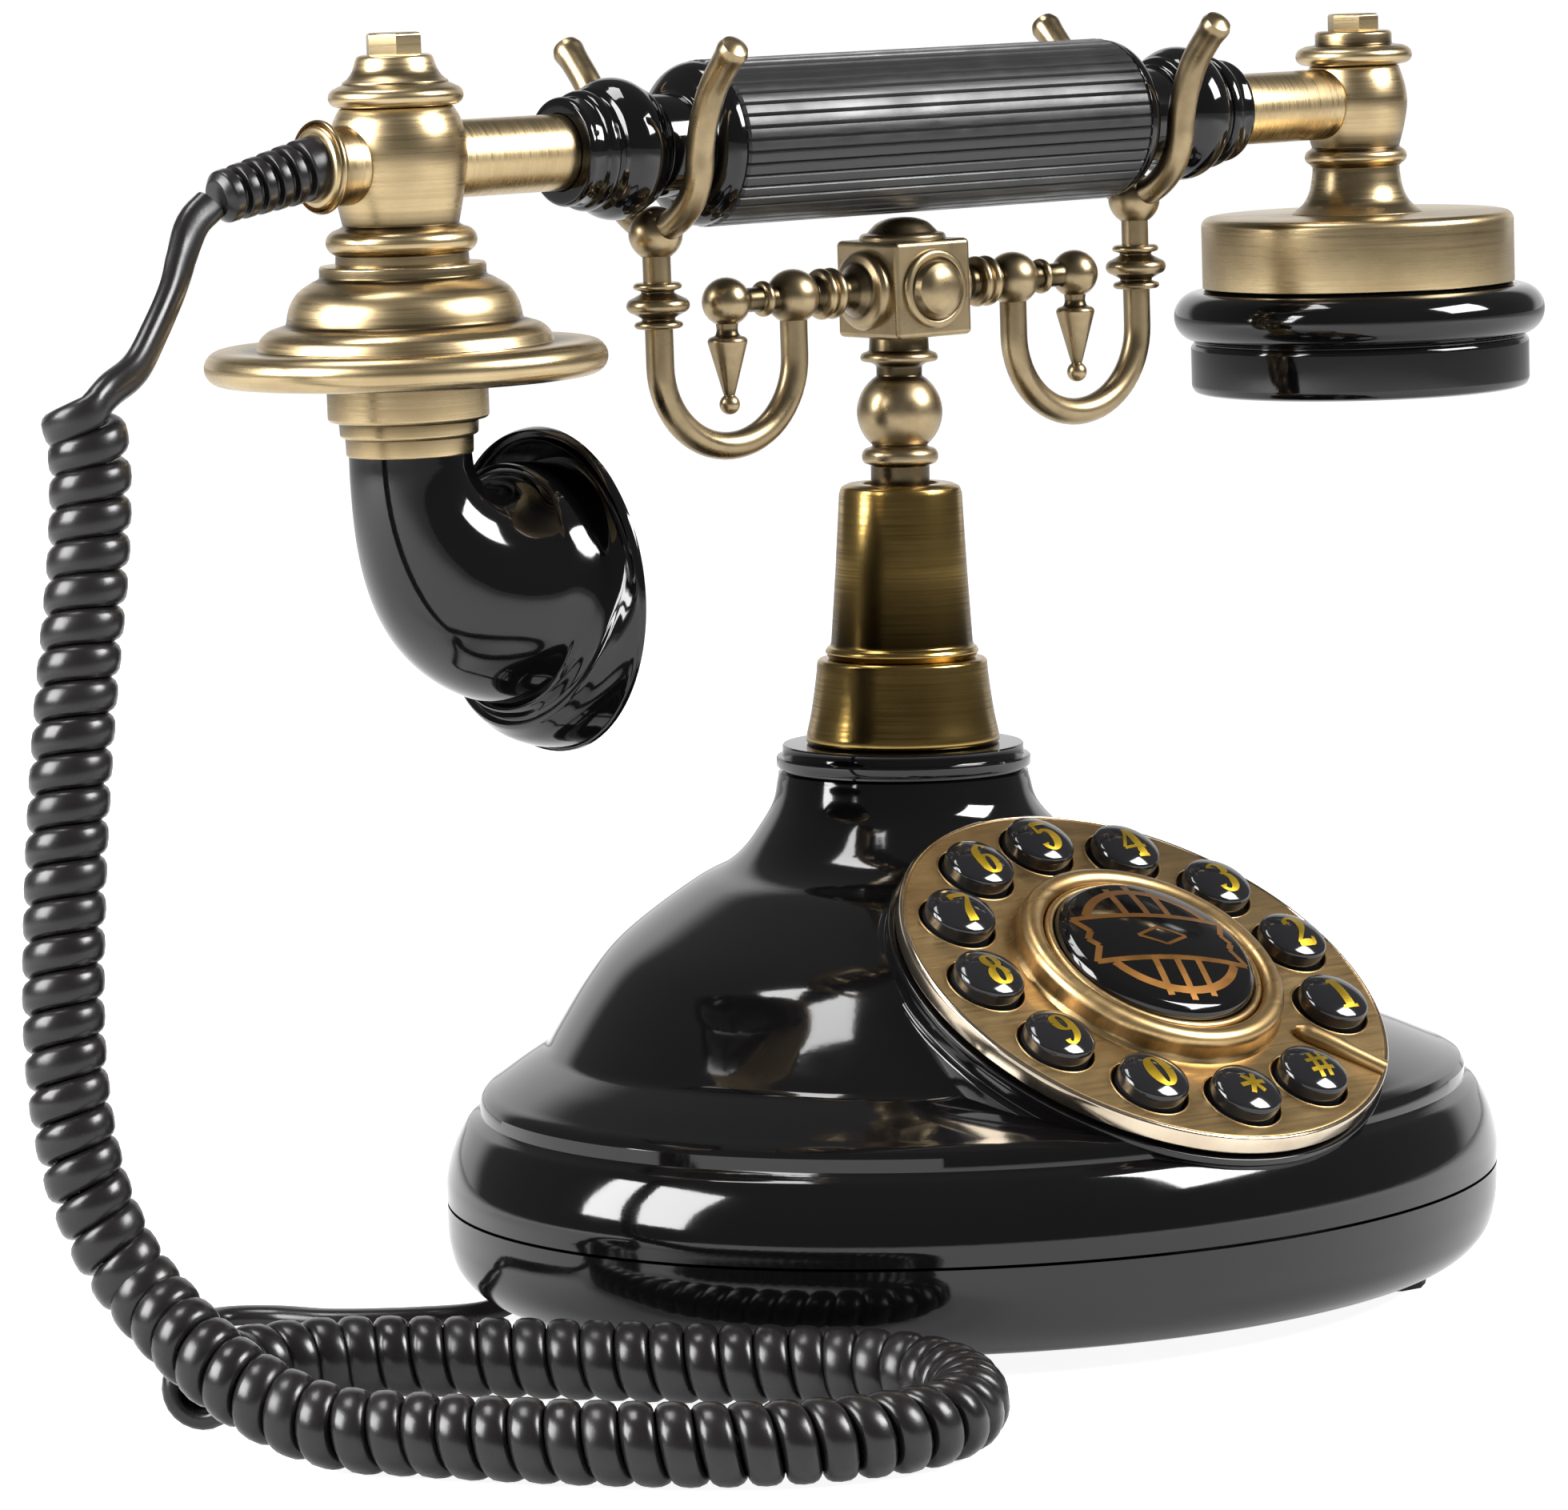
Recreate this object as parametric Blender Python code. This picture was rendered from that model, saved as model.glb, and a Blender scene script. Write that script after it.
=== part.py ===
"""French-style cradle telephone with a push-button dial, a fork cradle and a coiled handset cord.

Dimensions are in millimetres. Meshes are built in metres, +Z up. The origin is on the floor, under
the centre of the object's outline box; the dial faces -Y and the handset lies along X.
"""

import math

import bmesh
import bpy
from mathutils import Matrix, Vector

MM = 0.001

# ---- driving dimensions (mm) ----
CENTRE_X = -2.6  # the base and column stand this far along X from the middle of the outline box
BASE_HALF_WIDTH = 93.65
BASE_HALF_DEPTH = 76.75
FOOT_HEIGHT = 3.2
PAN_BOTTOM = 3.5
SEAM_HEIGHT = 19.0
WALL = 2.6
GAP = 0.3
COLUMN_Y = 18.8  # the column stands behind the middle of the base
NECK_RADIUS = 20.9
NECK_HEIGHT = 84.9

DIAL_Y = -42.3
DIAL_Z = 57.1
DIAL_TILT = math.radians(31.8)
PLATE_RADIUS = 41.7
PLATE_THICKNESS = 3.2
KEY_RING_RADIUS = 32.2
KEY_RADIUS = 5.8
KEY_FIRST_ANGLE = -26.3
KEY_STEP_ANGLE = 28.93
KEY_NAMES = ("1", "2", "3", "4", "5", "6", "7", "8", "9", "0", "star", "hash")
KEY_TRAVEL = 1.5

BAR_HEIGHT = 165.3  # axis of the cradle's cross bar
REST_TILT = math.radians(1.5)  # the cradle bar and handset rest this far off level
BAR_SHIFT = 1.2
BLOCK_SIZE = 16.0
INNER_BALL_X = 23.6
OUTER_BALL_X = 37.4
POST_X = 51.3
ROD_RADIUS = 2.28

HANDSET_SHIFT = 2.3  # along X from the column's axis
HANDSET_RISE = 25.9  # handset axis above the cradle bar
HEAD_X = 102.2  # handset's middle to the axis of either head
GRIP_HALF = 43.3
GRIP_RADIUS = 13.5
TUBE_RADIUS = 6.1

COIL_RADIUS = 6.25
LEAD_RADIUS = 1.5

# sides of a round piece, by size
LARGE = 36
MEDIUM = 24
SMALL = 14
TINY = 10

# ---- frames ----


def shift(x, y, z):
    return Matrix.Translation(Vector((x, y, z)) * MM)


def turned_by(degrees):
    return Matrix.Rotation(math.radians(degrees), 4, "Z")


COLUMN = shift(CENTRE_X, COLUMN_Y, 0)
BASE = shift(CENTRE_X, 0, 0)
DIAL = shift(CENTRE_X, DIAL_Y, DIAL_Z) @ Matrix.Rotation(DIAL_TILT, 4, "X")
BAR = shift(CENTRE_X, COLUMN_Y, BAR_HEIGHT) @ Matrix.Rotation(-REST_TILT, 4, "Y") @ shift(BAR_SHIFT, 0, 0)
HANDSET = BAR @ shift(HANDSET_SHIFT - BAR_SHIFT, 0, HANDSET_RISE)
LEFT_HEAD = HANDSET @ shift(-HEAD_X, 0, 0)
RIGHT_HEAD = HANDSET @ shift(HEAD_X, 0, 0)
ALONG_X = Matrix.Rotation(math.radians(90), 4, "Y")
ALONG_MINUS_X = Matrix.Rotation(math.radians(-90), 4, "Y")

# ---- materials ----

COLOURS = {
    "black_gloss": ((0.012, 0.012, 0.014), 0.12, 0.0),
    "black_satin": ((0.030, 0.030, 0.032), 0.42, 0.0),
    "key_black": ((0.020, 0.021, 0.024), 0.15, 0.0),
    "antique_brass": ((0.46, 0.35, 0.19), 0.32, 1.0),
    "dark_bronze": ((0.30, 0.24, 0.15), 0.36, 1.0),
    "column_brass": ((0.38, 0.26, 0.09), 0.28, 1.0),
    "dial_brass": ((0.44, 0.31, 0.15), 0.34, 1.0),
    "cord_black": ((0.022, 0.022, 0.024), 0.38, 0.0),
    "foot_rubber": ((0.030, 0.030, 0.030), 0.80, 0.0),
    "board_green": ((0.020, 0.120, 0.060), 0.50, 0.0),
    "steel": ((0.55, 0.55, 0.55), 0.35, 1.0),
    "clear_plug": ((0.70, 0.72, 0.72), 0.20, 0.0),
}


def material(name):
    found = bpy.data.materials.get(name)
    if found:
        return found
    colour, roughness, metallic = COLOURS[name]
    made = bpy.data.materials.new(name)
    made.use_nodes = True
    shader = made.node_tree.nodes["Principled BSDF"]
    shader.inputs["Base Color"].default_value = (*colour, 1.0)
    shader.inputs["Roughness"].default_value = roughness
    shader.inputs["Metallic"].default_value = metallic
    return made


# ---- mesh tools ----


def place(mesh, name, look, frame):
    mesh.name = name
    mesh.materials.append(material(look))
    made = bpy.data.objects.new(name, mesh)
    bpy.context.scene.collection.objects.link(made)
    made.matrix_world = frame
    return made


def mesh_from(points, faces, smooth=True):
    mesh = bpy.data.meshes.new("piece")
    mesh.from_pydata([tuple(Vector(p) * MM) for p in points], [], faces)
    work = bmesh.new()
    work.from_mesh(mesh)
    bmesh.ops.remove_doubles(work, verts=work.verts, dist=1e-7)
    bmesh.ops.recalc_face_normals(work, faces=work.faces)
    if work.calc_volume(signed=True) < 0:
        bmesh.ops.reverse_faces(work, faces=work.faces)
    work.to_mesh(mesh)
    work.free()
    if smooth:
        mesh.shade_smooth()
        mesh.set_sharp_from_angle(angle=math.radians(35))
    return mesh


def skin(rings, closed=False):
    """Faces over a stack of equal rings; an end ring is capped by one flat face, or the stack closes on itself."""
    count = len(rings[0])
    points = [p for ring in rings for p in ring]
    faces = []
    stacks = len(rings) if closed else len(rings) - 1
    for i in range(stacks):
        low, high = i * count, (i + 1) % len(rings) * count
        for j in range(count):
            k = (j + 1) % count
            faces.append((low + j, low + k, high + k, high + j))
    if not closed:
        faces.append(tuple(range(count)))
        faces.append(tuple(range(len(points) - count, len(points))))
    return mesh_from(points, faces)


def ring(radius, z, count):
    return [
        (radius * math.cos(math.tau * i / count), radius * math.sin(math.tau * i / count), z)
        for i in range(count)
    ]


def turned_mesh(outline, count=SMALL, hollow=False):
    """A turned solid from (radius, height) points; hollow joins the last point to the first."""
    return skin([ring(max(r, 0.02), z, count) for r, z in outline], closed=hollow)


def turned(name, outline, look, frame, count=SMALL, hollow=False):
    return place(turned_mesh(outline, count, hollow), name, look, frame)


def arc(radius, z, size, start, end, steps):
    """Points of an arc of a profile, about (radius, z); angles in degrees from the outward direction."""
    angles = [math.radians(start + (end - start) * i / steps) for i in range(steps + 1)]
    return [(radius + size * math.cos(a), z + size * math.sin(a)) for a in angles]


def ball(z, size, low, high, steps=6):
    """The profile of a ball on the axis, from latitude low to latitude high in degrees."""
    return arc(0, z, size, low, high, steps)


def box_mesh(low, high):
    points = [(x, y, z) for z in (low[2], high[2]) for y in (low[1], high[1]) for x in (low[0], high[0])]
    faces = [(0, 1, 3, 2), (4, 6, 7, 5), (0, 4, 5, 1), (2, 3, 7, 6), (0, 2, 6, 4), (1, 5, 7, 3)]
    return mesh_from(points, faces, smooth=False)


def box(name, low, high, look, frame):
    return place(box_mesh(low, high), name, look, frame)


def helper(mesh, frame):
    """A shape that only cuts or joins another, and isn't a piece itself."""
    made = place(mesh, "helper", "steel", frame)
    made.hide_render = True
    made.display_type = "WIRE"
    return made


def combine(piece, mesh, frame, operation):
    change = piece.modifiers.new(operation.lower(), "BOOLEAN")
    change.operation = operation
    change.object = helper(mesh, frame)
    return piece


def frames_along(points):
    """A steady pair of cross directions at each point of a path."""
    tangents = []
    for i in range(len(points)):
        a, b = points[max(i - 1, 0)], points[min(i + 1, len(points) - 1)]
        tangents.append((Vector(b) - Vector(a)).normalized())
    side = tangents[0].orthogonal().normalized()
    found = []
    for tangent in tangents:
        side = (side - tangent * side.dot(tangent)).normalized()
        found.append((side, tangent.cross(side)))
    return found


def tube_mesh(points, radii, count=8):
    """A round bar through the points, with a radius at each."""
    rings = []
    for point, radius, (side, up) in zip(points, radii, frames_along(points)):
        turns = [math.tau * i / count for i in range(count)]
        rings.append([Vector(point) + (side * math.cos(t) + up * math.sin(t)) * radius for t in turns])
    return skin(rings)


def smooth_path(points, steps):
    """Points on a Catmull-Rom curve through the given points."""
    knots = [Vector(p) for p in points]
    knots = [knots[0] * 2 - knots[1], *knots, knots[-1] * 2 - knots[-2]]
    found = []
    for i in range(1, len(knots) - 2):
        p0, p1, p2, p3 = knots[i - 1 : i + 3]
        for j in range(steps):
            t = j / steps
            found.append(
                0.5
                * (
                    p1 * 2
                    + (p2 - p0) * t
                    + (p0 * 2 - p1 * 5 + p2 * 4 - p3) * t * t
                    + (p1 * 3 - p0 - p2 * 3 + p3) * t**3
                )
            )
    return [*found, knots[-2]]


def cord_curve(name, points, radius, steps):
    curve = bpy.data.curves.new(name, "CURVE")
    curve.dimensions = "3D"
    curve.bevel_depth = radius * MM
    curve.bevel_resolution = 2
    curve.use_fill_caps = True
    path = smooth_path(points, steps)
    spline = curve.splines.new("POLY")
    spline.points.add(len(path) - 1)
    for place_on, point in zip(spline.points, path):
        place_on.co = (*(point * MM), 1.0)
    curve.materials.append(material("cord_black"))
    made = bpy.data.objects.new(name, curve)
    bpy.context.scene.collection.objects.link(made)
    return made


# ---- base ----


def base_ring(scale, z, inset=0.0, count=LARGE):
    """An oval ring of the base, scaled about its middle and moved in by a wall thickness."""
    a = BASE_HALF_WIDTH * scale - inset
    b = BASE_HALF_DEPTH * scale - inset
    return [
        (a * math.cos(math.tau * i / count), b * math.sin(math.tau * i / count), z) for i in range(count)
    ]


def bell_ring(reach, z, inset=0.0, count=LARGE):
    """A ring of the bell: its middle moves back and its outline rounds off from the foot to the neck."""
    foot_reach = 81.8
    rise = min(max((foot_reach - reach) / (foot_reach - NECK_RADIUS), 0.0), 1.0)
    wide = BASE_HALF_WIDTH / 87.6 * (1 - rise) + rise
    deep = BASE_HALF_DEPTH / 87.6 * (1 - rise) + rise
    a, b = reach * wide - inset, reach * deep - inset
    return [
        (a * math.cos(math.tau * i / count), COLUMN_Y * rise + b * math.sin(math.tau * i / count), z)
        for i in range(count)
    ]


PAN_OUTLINE = ((0.877, 3.5), (0.925, 4.2), (0.962, 6.2), (0.985, 9.0), (0.996, 12.5), (1.0, 18.7))
RIM_OUTLINE = ((1.0, 19.3), (1.0, 23.0), (0.986, 27.4), (0.964, 31.2), (0.944, 32.6))
BELL_OUTLINE = (
    (82.1, 33.0),
    (82.0, 35.8),
    (80.4, 37.0),
    (75.3, 39.6),
    (68.7, 42.4),
    (66.3, 45.7),
    (61.2, 52.0),
    (55.5, 57.6),
    (48.1, 62.3),
    (38.2, 67.4),
    (32.1, 69.7),
    (28.3, 72.2),
    (25.0, 75.7),
    (22.2, 79.5),
    (21.2, 83.2),
    (NECK_RADIUS, NECK_HEIGHT),
)
PLUNGER_HOLE = 3.6


def build_pan():
    rings = [base_ring(scale, z) for scale, z in PAN_OUTLINE]
    rings += [base_ring(1.0, SEAM_HEIGHT - GAP, WALL), base_ring(0.985, 9.0, WALL)]
    rings += [base_ring(0.90, PAN_BOTTOM + WALL, WALL)]
    pan = place(skin(rings), "base_pan", "black_gloss", BASE)
    combine(pan, box_mesh((-70, 23.0, -1), (-42, 36.0, 8)), BASE, "DIFFERENCE")
    combine(pan, box_mesh((-88, 26.6, -1), (-69, 32.4, 7.6)), BASE, "DIFFERENCE")
    combine(pan, box_mesh((-6.6, 66, 6.8), (6.6, 82, 17.2)), BASE, "DIFFERENCE")
    return pan


def housing_inside():
    rings = [base_ring(1.0, SEAM_HEIGHT - 1, WALL), base_ring(1.0, 23.0, WALL), base_ring(0.96, 29.5, WALL)]
    rings += [bell_ring(reach, z - 2.0, WALL) for reach, z in BELL_OUTLINE[3:-2:2]]
    return skin(rings)


def build_housing():
    rings = [base_ring(scale, z) for scale, z in RIM_OUTLINE]
    rings += [bell_ring(reach, z) for reach, z in BELL_OUTLINE]
    rings += [bell_ring(20.1, 85.3), bell_ring(21.2, 86.0), bell_ring(21.2, 87.4), bell_ring(20.2, 87.8)]
    rings += [bell_ring(20.2, 89.3)]
    housing = place(skin(rings), "base_housing", "black_gloss", BASE)
    boss = [(0, -17.0), (43.2, -16.4), (43.2, -7.6), (42.4, -7.0), (42.4, -2.0), (0, -2.0)]
    seat = [(0, -3.5), (43.0, -3.5), (43.0, 12.0), (0, 12.0)]
    well = [(0, -30.0), (39.2, -30.0), (39.2, 12.0), (0, 12.0)]
    hole = [(0, 70.0), (PLUNGER_HOLE, 70.0), (PLUNGER_HOLE, 95.0), (0, 95.0)]
    combine(housing, turned_mesh(boss, LARGE), DIAL @ turned_by(1.7), "UNION")
    combine(housing, turned_mesh(seat, LARGE), DIAL @ turned_by(3.1), "DIFFERENCE")
    combine(housing, housing_inside(), BASE @ turned_by(0.6), "DIFFERENCE")
    combine(housing, turned_mesh(well, LARGE), DIAL @ turned_by(2.3), "DIFFERENCE")
    combine(housing, turned_mesh(hole, TINY), COLUMN @ turned_by(4.0), "DIFFERENCE")
    return housing


def build_feet():
    places = {"front_left": (-50, -45), "front_right": (50, -45), "rear_left": (-50, 45), "rear_right": (50, 45)}
    for name, (x, y) in places.items():
        outline = [(0, 0), (6.8, 0), (7.4, FOOT_HEIGHT), (0, FOOT_HEIGHT)]
        turned("foot_" + name, outline, "foot_rubber", BASE @ shift(x, y, 0), TINY)


def build_jacks():
    jack = box("handset_jack", (-56, 23.3, 3.6), (-42.3, 35.7, 13.0), "black_satin", BASE)
    combine(jack, box_mesh((-60, 25.4, 4.4), (-46, 33.6, 11.0)), BASE, "DIFFERENCE")
    box("cord_plug", (-68, 25.75, 4.7), (-47, 33.25, 10.7), "clear_plug", BASE)
    line = box("line_jack", (-6.3, 60, 7.1), (6.3, 74.4, 16.9), "black_satin", BASE)
    combine(line, box_mesh((-5.0, 63, 8.5), (5.0, 78, 15.5)), BASE, "DIFFERENCE")


def build_insides():
    box("ballast_plate", (-36, -40, 6.5), (52, 30, 12.5), "steel", BASE)
    box("main_board", (-46, -8, 20.4), (46, 48, 22.0), "board_green", BASE)
    ringer = [(0, 23.0), (16, 23.0), (16, 30.0), (11, 33.0), (0, 33.0)]
    turned("ringer", ringer, "black_satin", BASE @ shift(-38, -28, 0))
    box("hook_switch", (8.5, -2.9, 22.3), (21.3, 2.9, 28.8), "black_satin", COLUMN)
    turns, steps = 4, 6
    total = turns * steps
    path = [
        (5.2 * math.cos(math.tau * i / steps), 5.2 * math.sin(math.tau * i / steps), 23.0 + 12.0 * i / total)
        for i in range(total + 1)
    ]
    place(tube_mesh(path, [0.5] * len(path), 4), "hook_spring", "steel", COLUMN)


# ---- column ----


def build_column():
    flare = [(9.0, 89.6), (16.2, 89.6), (15.3, 94.5), (14.4, 100.0), (13.9, 103.5), (9.0, 103.5)]
    turned("column_flare", flare, "column_brass", COLUMN, MEDIUM, hollow=True)
    upper = [(6.4, 103.8), (12.4, 103.8), (12.9, 104.9), (11.85, 106.2), (10.3, 131.3), (9.2, 132.8)]
    turned("column_tube", [*upper, (6.4, 132.8)], "column_brass", COLUMN, MEDIUM, hollow=True)


# ---- dial ----


def key_frame(index):
    angle = math.radians(KEY_FIRST_ANGLE + KEY_STEP_ANGLE * index)
    return DIAL @ shift(KEY_RING_RADIUS * math.cos(angle), KEY_RING_RADIUS * math.sin(angle), 0)


def build_dial():
    edge = [(0, -PLATE_THICKNESS), (PLATE_RADIUS, -PLATE_THICKNESS), (PLATE_RADIUS, -0.8), (40.9, 0), (0, 0)]
    plate = turned("dial_plate", edge, "dial_brass", DIAL, LARGE)
    for index in range(len(KEY_NAMES)):
        hole = turned_mesh([(0, -5), (KEY_RADIUS + 0.6, -5), (KEY_RADIUS + 0.6, 2), (0, 2)], TINY)
        combine(plate, hole, key_frame(index), "DIFFERENCE")
    stop_frame = DIAL @ Matrix.Rotation(math.radians(-47.0), 4, "Z")
    combine(plate, box_mesh((24.0, -1.5, -1.0), (40.2, 1.5, 2.2)), stop_frame, "UNION")
    trim = [(18.6, 0.3), (22.4, 0.3), *arc(20.5, 2.6, 1.9, 0, 180, 4)]
    turned("dial_ring", trim, "dial_brass", DIAL, MEDIUM, hollow=True)
    boss = [(0, 0.3), (18.3, 0.3), (18.3, 5.0), (13.0, 6.8), (0, 7.7)]
    turned("dial_medallion", boss, "black_gloss", DIAL, MEDIUM)
    board = [(0, -8.2), (38.4, -8.2), (38.4, -6.6), (0, -6.6)]
    turned("keypad_board", board, "board_green", DIAL, MEDIUM)
    for index, name in enumerate(KEY_NAMES):
        outline = [(0, -5.0), (6.9, -5.0), (KEY_RADIUS, -3.8), (KEY_RADIUS, 2.3)]
        outline += [(4.9, 3.5), (0, 4.0)]
        turned("key_" + name, outline, "key_black", key_frame(index), TINY)


# ---- cradle ----


def build_cradle_post():
    rod = [(0, 35.8), (6.6, 35.8), (6.6, 37.4), (3.2, 37.4), (3.2, 108.0), (4.9, 110.0), (4.9, 135.9)]
    rings = [(6.3, 136.3), (6.3, 138.7), (4.6, 138.9)]
    knob = ball(144.7, 7.13, -50, 56, 5)
    top = [(3.9, 152.6), (6.5, 153.2), (6.5, 154.4), (5.1, 155.0), (5.1, 156.9), (0, 156.9)]
    turned("cradle_stem", [*rod, *rings, *knob, *top], "dark_bronze", COLUMN)
    half = BLOCK_SIZE / 2
    block = box("cradle_block", (-half, -half, -half), (half, half, half), "dark_bronze", BAR)
    bevel = block.modifiers.new("bevel", "BEVEL")
    bevel.width = 0.6 * MM
    boss = [(0, 4), (6.5, 4), (6.5, 8.7), (4.8, 10.4), (0, 11.3)]
    for turn in (90, -90):
        combine(block, turned_mesh(boss, SMALL), BAR @ Matrix.Rotation(math.radians(turn), 4, "X"), "UNION")
    crown = [(0, 4), (7.0, 4), (7.0, 9.0), (4.8, 10.9), (0, 11.6)]
    combine(block, turned_mesh(crown, SMALL), BAR, "UNION")


def build_arm(side, turn):
    """The bar of one arm, from the block's flange to its end ball, with the pendant under that ball."""
    bar = [(0, 8.3), (6.5, 8.3), (6.5, 9.6), (3.4, 11.6), (2.6, 14.6), (4.1, 15.2), (4.1, 18.6), (2.9, 19.4)]
    bar += ball(INNER_BALL_X, 4.45, -60, 62, 4)
    bar += [(2.0, 29.0), (2.9, 29.4), (2.9, 30.4), (2.0, 30.8), (2.0, 33.6)]
    bar += ball(OUTER_BALL_X, 3.95, -55, 90, 5)
    arm = turned("arm_" + side, bar, "dark_bronze", BAR @ turn, TINY)
    drop = [(0, -18.3), (1.7, -16.9), (1.15, -14.6), (3.2, -6.6), (1.9, -5.6), (1.9, -1.0), (0, -1.0)]
    way = 1 if side == "right" else -1
    combine(arm, turned_mesh(drop, 8), BAR @ shift(way * OUTER_BALL_X, 0, 0) @ turned_by(3.0), "UNION")


def build_hook(side, way):
    """The U-shaped rod that hangs under the bar and rises to the fork, with the three rings on its post."""
    drop = -9.6
    reach = (POST_X - INNER_BALL_X) / 2
    middle = (POST_X + INNER_BALL_X) / 2
    path = [(INNER_BALL_X, 0, -4.9)]
    path += [
        (middle - reach * math.cos(math.radians(a)), 0, drop - reach * math.sin(math.radians(a)))
        for a in range(0, 181, 30)
    ]
    path += [(POST_X, 0, 8.0)]
    path = [(way * x, y, z) for x, y, z in path]
    hook = place(tube_mesh(path, [ROD_RADIUS] * len(path)), "hook_" + side, "dark_bronze", BAR)
    collars = [(0, -3.5), (4.0, -3.5), (4.0, -2.3), (2.8, -1.9), (4.9, -0.9), (4.9, 1.1), (2.8, 2.1)]
    collars += [(4.0, 2.5), (4.0, 3.7), (0, 3.7)]
    spot = BAR @ shift(way * POST_X, 0, 0.2) @ turned_by(3.0)
    combine(hook, turned_mesh(collars, TINY), spot, "UNION")


def build_fork(side, way):
    """The two curled prongs that hold the handset's neck, on their round hub."""
    prong = [(1.0, 12.0), (5.4, 14.0), (9.6, 17.2), (11.9, 21.4), (12.7, 26.0), (14.0, 30.5), (16.4, 35.2)]
    prong += [(19.6, 38.9), (21.9, 41.2)]
    outline = [*reversed([(-y, z) for y, z in prong]), *prong]
    path = [(way * POST_X, y, z) for y, z in outline]
    ends = len(path) - 1
    radii = [2.2 if i in (0, ends) else 1.85 for i in range(len(path))]
    fork = place(tube_mesh(path, radii), "fork_" + side, "dark_bronze", BAR)
    hub = [(0, 8.3), (2.5, 8.3), *ball(11.9, 4.3, -50, 65, 5), (1.8, 17.4), (0, 17.4)]
    combine(fork, turned_mesh(hub, 12), BAR @ shift(way * POST_X, 0, 0) @ turned_by(4.0), "UNION")


# ---- handset ----


def build_grip():
    """The barrel with its domed ends and the two necks that the forks hold."""
    end = [(0, -54.2), (8.2, -54.2), (8.2, -48.2), (10.1, -47.3), (12.3, -45.6), (GRIP_RADIUS, -GRIP_HALF)]
    outline = [*end, *reversed([(r, -z) for r, z in end])]
    turned("handset_grip", outline, "black_satin", HANDSET @ ALONG_X, MEDIUM)


def build_collar(side, turn):
    bore = TUBE_RADIUS + 0.4
    outline = [(bore, 54.5), (8.4, 54.5), (10.7, 58.0), (11.3, 60.6), (10.7, 63.2), (8.6, 65.4)]
    outline += [(9.4, 66.6), (9.4, 67.6), (8.6, 68.2), (8.6, 71.0), (bore, 71.0)]
    turned("collar_" + side, outline, "black_gloss", HANDSET @ turn, hollow=True)
    tube = [(0, 54.6), (TUBE_RADIUS, 54.6), (TUBE_RADIUS, 93.0), (0, 93.0)]
    turned("arm_tube_" + side, tube, "antique_brass", HANDSET @ turn)


SOCKET = ((0, -0.2), (TUBE_RADIUS + 0.4, -0.2), (TUBE_RADIUS + 0.4, 20.0), (0, 20.0))


def build_transmitter():
    head = [(0, -17.2), (10.5, -17.2), (10.5, -16.0), (11.5, -14.4), (11.3, -11.8), (9.2, -11.0)]
    head += [(10.3, -6.0), (11.0, 0.0), (10.4, 4.6), (8.8, 8.5), (0, 8.5)]
    barrel = turned("transmitter_head", head, "antique_brass", LEFT_HEAD @ turned_by(2.0), MEDIUM)
    combine(barrel, turned_mesh(SOCKET, SMALL), LEFT_HEAD @ shift(8.9, 0, 0) @ ALONG_X, "DIFFERENCE")
    cap = [(0, 8.8), (9.6, 8.8), (10.4, 10.2), (9.4, 11.8), (8.3, 12.4), (7.6, 14.4), (6.0, 16.2)]
    cap += [(4.3, 16.4), (4.3, 19.1), (0, 19.1)]
    turned("transmitter_cap", cap, "antique_brass", LEFT_HEAD)
    bell = [(0, -17.5), (13.0, -17.5), (13.1, -18.8), (16.2, -20.6), (18.5, -25.6), (23.0, -26.3)]
    bell += [(23.2, -28.6), (29.4, -28.9), (31.5, -31.2), (29.4, -33.4), (12.7, -35.9), (12.7, -41.8)]
    bell += [(10.8, -42.1), (10.2, -46.9), (7.4, -46.9), (7.4, -40.0), (0, -40.0)]
    turned("transmitter_bell", bell, "antique_brass", LEFT_HEAD, MEDIUM)
    turned("microphone", [(0, -46.0), (4.9, -46.0), (4.9, -40.4), (0, -40.4)], "steel", LEFT_HEAD, TINY)


def build_horn():
    """The curved speaking horn: a swept shell that widens through a quarter turn to a thin flared lip."""
    reach_x, reach_z, start_z = 18.6, 22.2, -47.2
    sweep = [(0.0, 9.65), (18.0, 10.4), (36.0, 12.0), (54.0, 14.2), (72.0, 16.5), (90.0, 18.4)]
    path, radii = [], []
    for angle, radius in sweep:
        a = math.radians(angle)
        path.append((reach_x * (1 - math.cos(a)), 0, start_z - reach_z * math.sin(a)))
        radii.append(radius)
    mouth_z = start_z - reach_z
    for x, radius in ((20.6, 20.0), (22.9, 22.6), (24.6, 25.2), (25.6, 25.7)):
        path.append((x, 0, mouth_z))
        radii.append(radius)
    count = 22
    outside = horn_rings(path, radii, count, 0.0)
    inside = horn_rings(path[::2], radii[::2], count, 1.6)
    place(skin([*outside, *reversed(inside)], closed=True), "mouthpiece_horn", "black_gloss", LEFT_HEAD)


def horn_rings(path, radii, count, inset):
    rings = []
    for index, (point, radius) in enumerate(zip(path, radii)):
        before, after = path[max(index - 1, 0)], path[min(index + 1, len(path) - 1)]
        along = (Vector(after) - Vector(before)).normalized()
        if index == 0:
            along = Vector((0, 0, -1))
        across = Vector((0, 1, 0))
        out = across.cross(along)
        size = radius - inset
        turns = [math.tau * i / count for i in range(count)]
        rings.append([Vector(point) + (across * math.cos(t) + out * math.sin(t)) * size for t in turns])
    return rings


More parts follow.
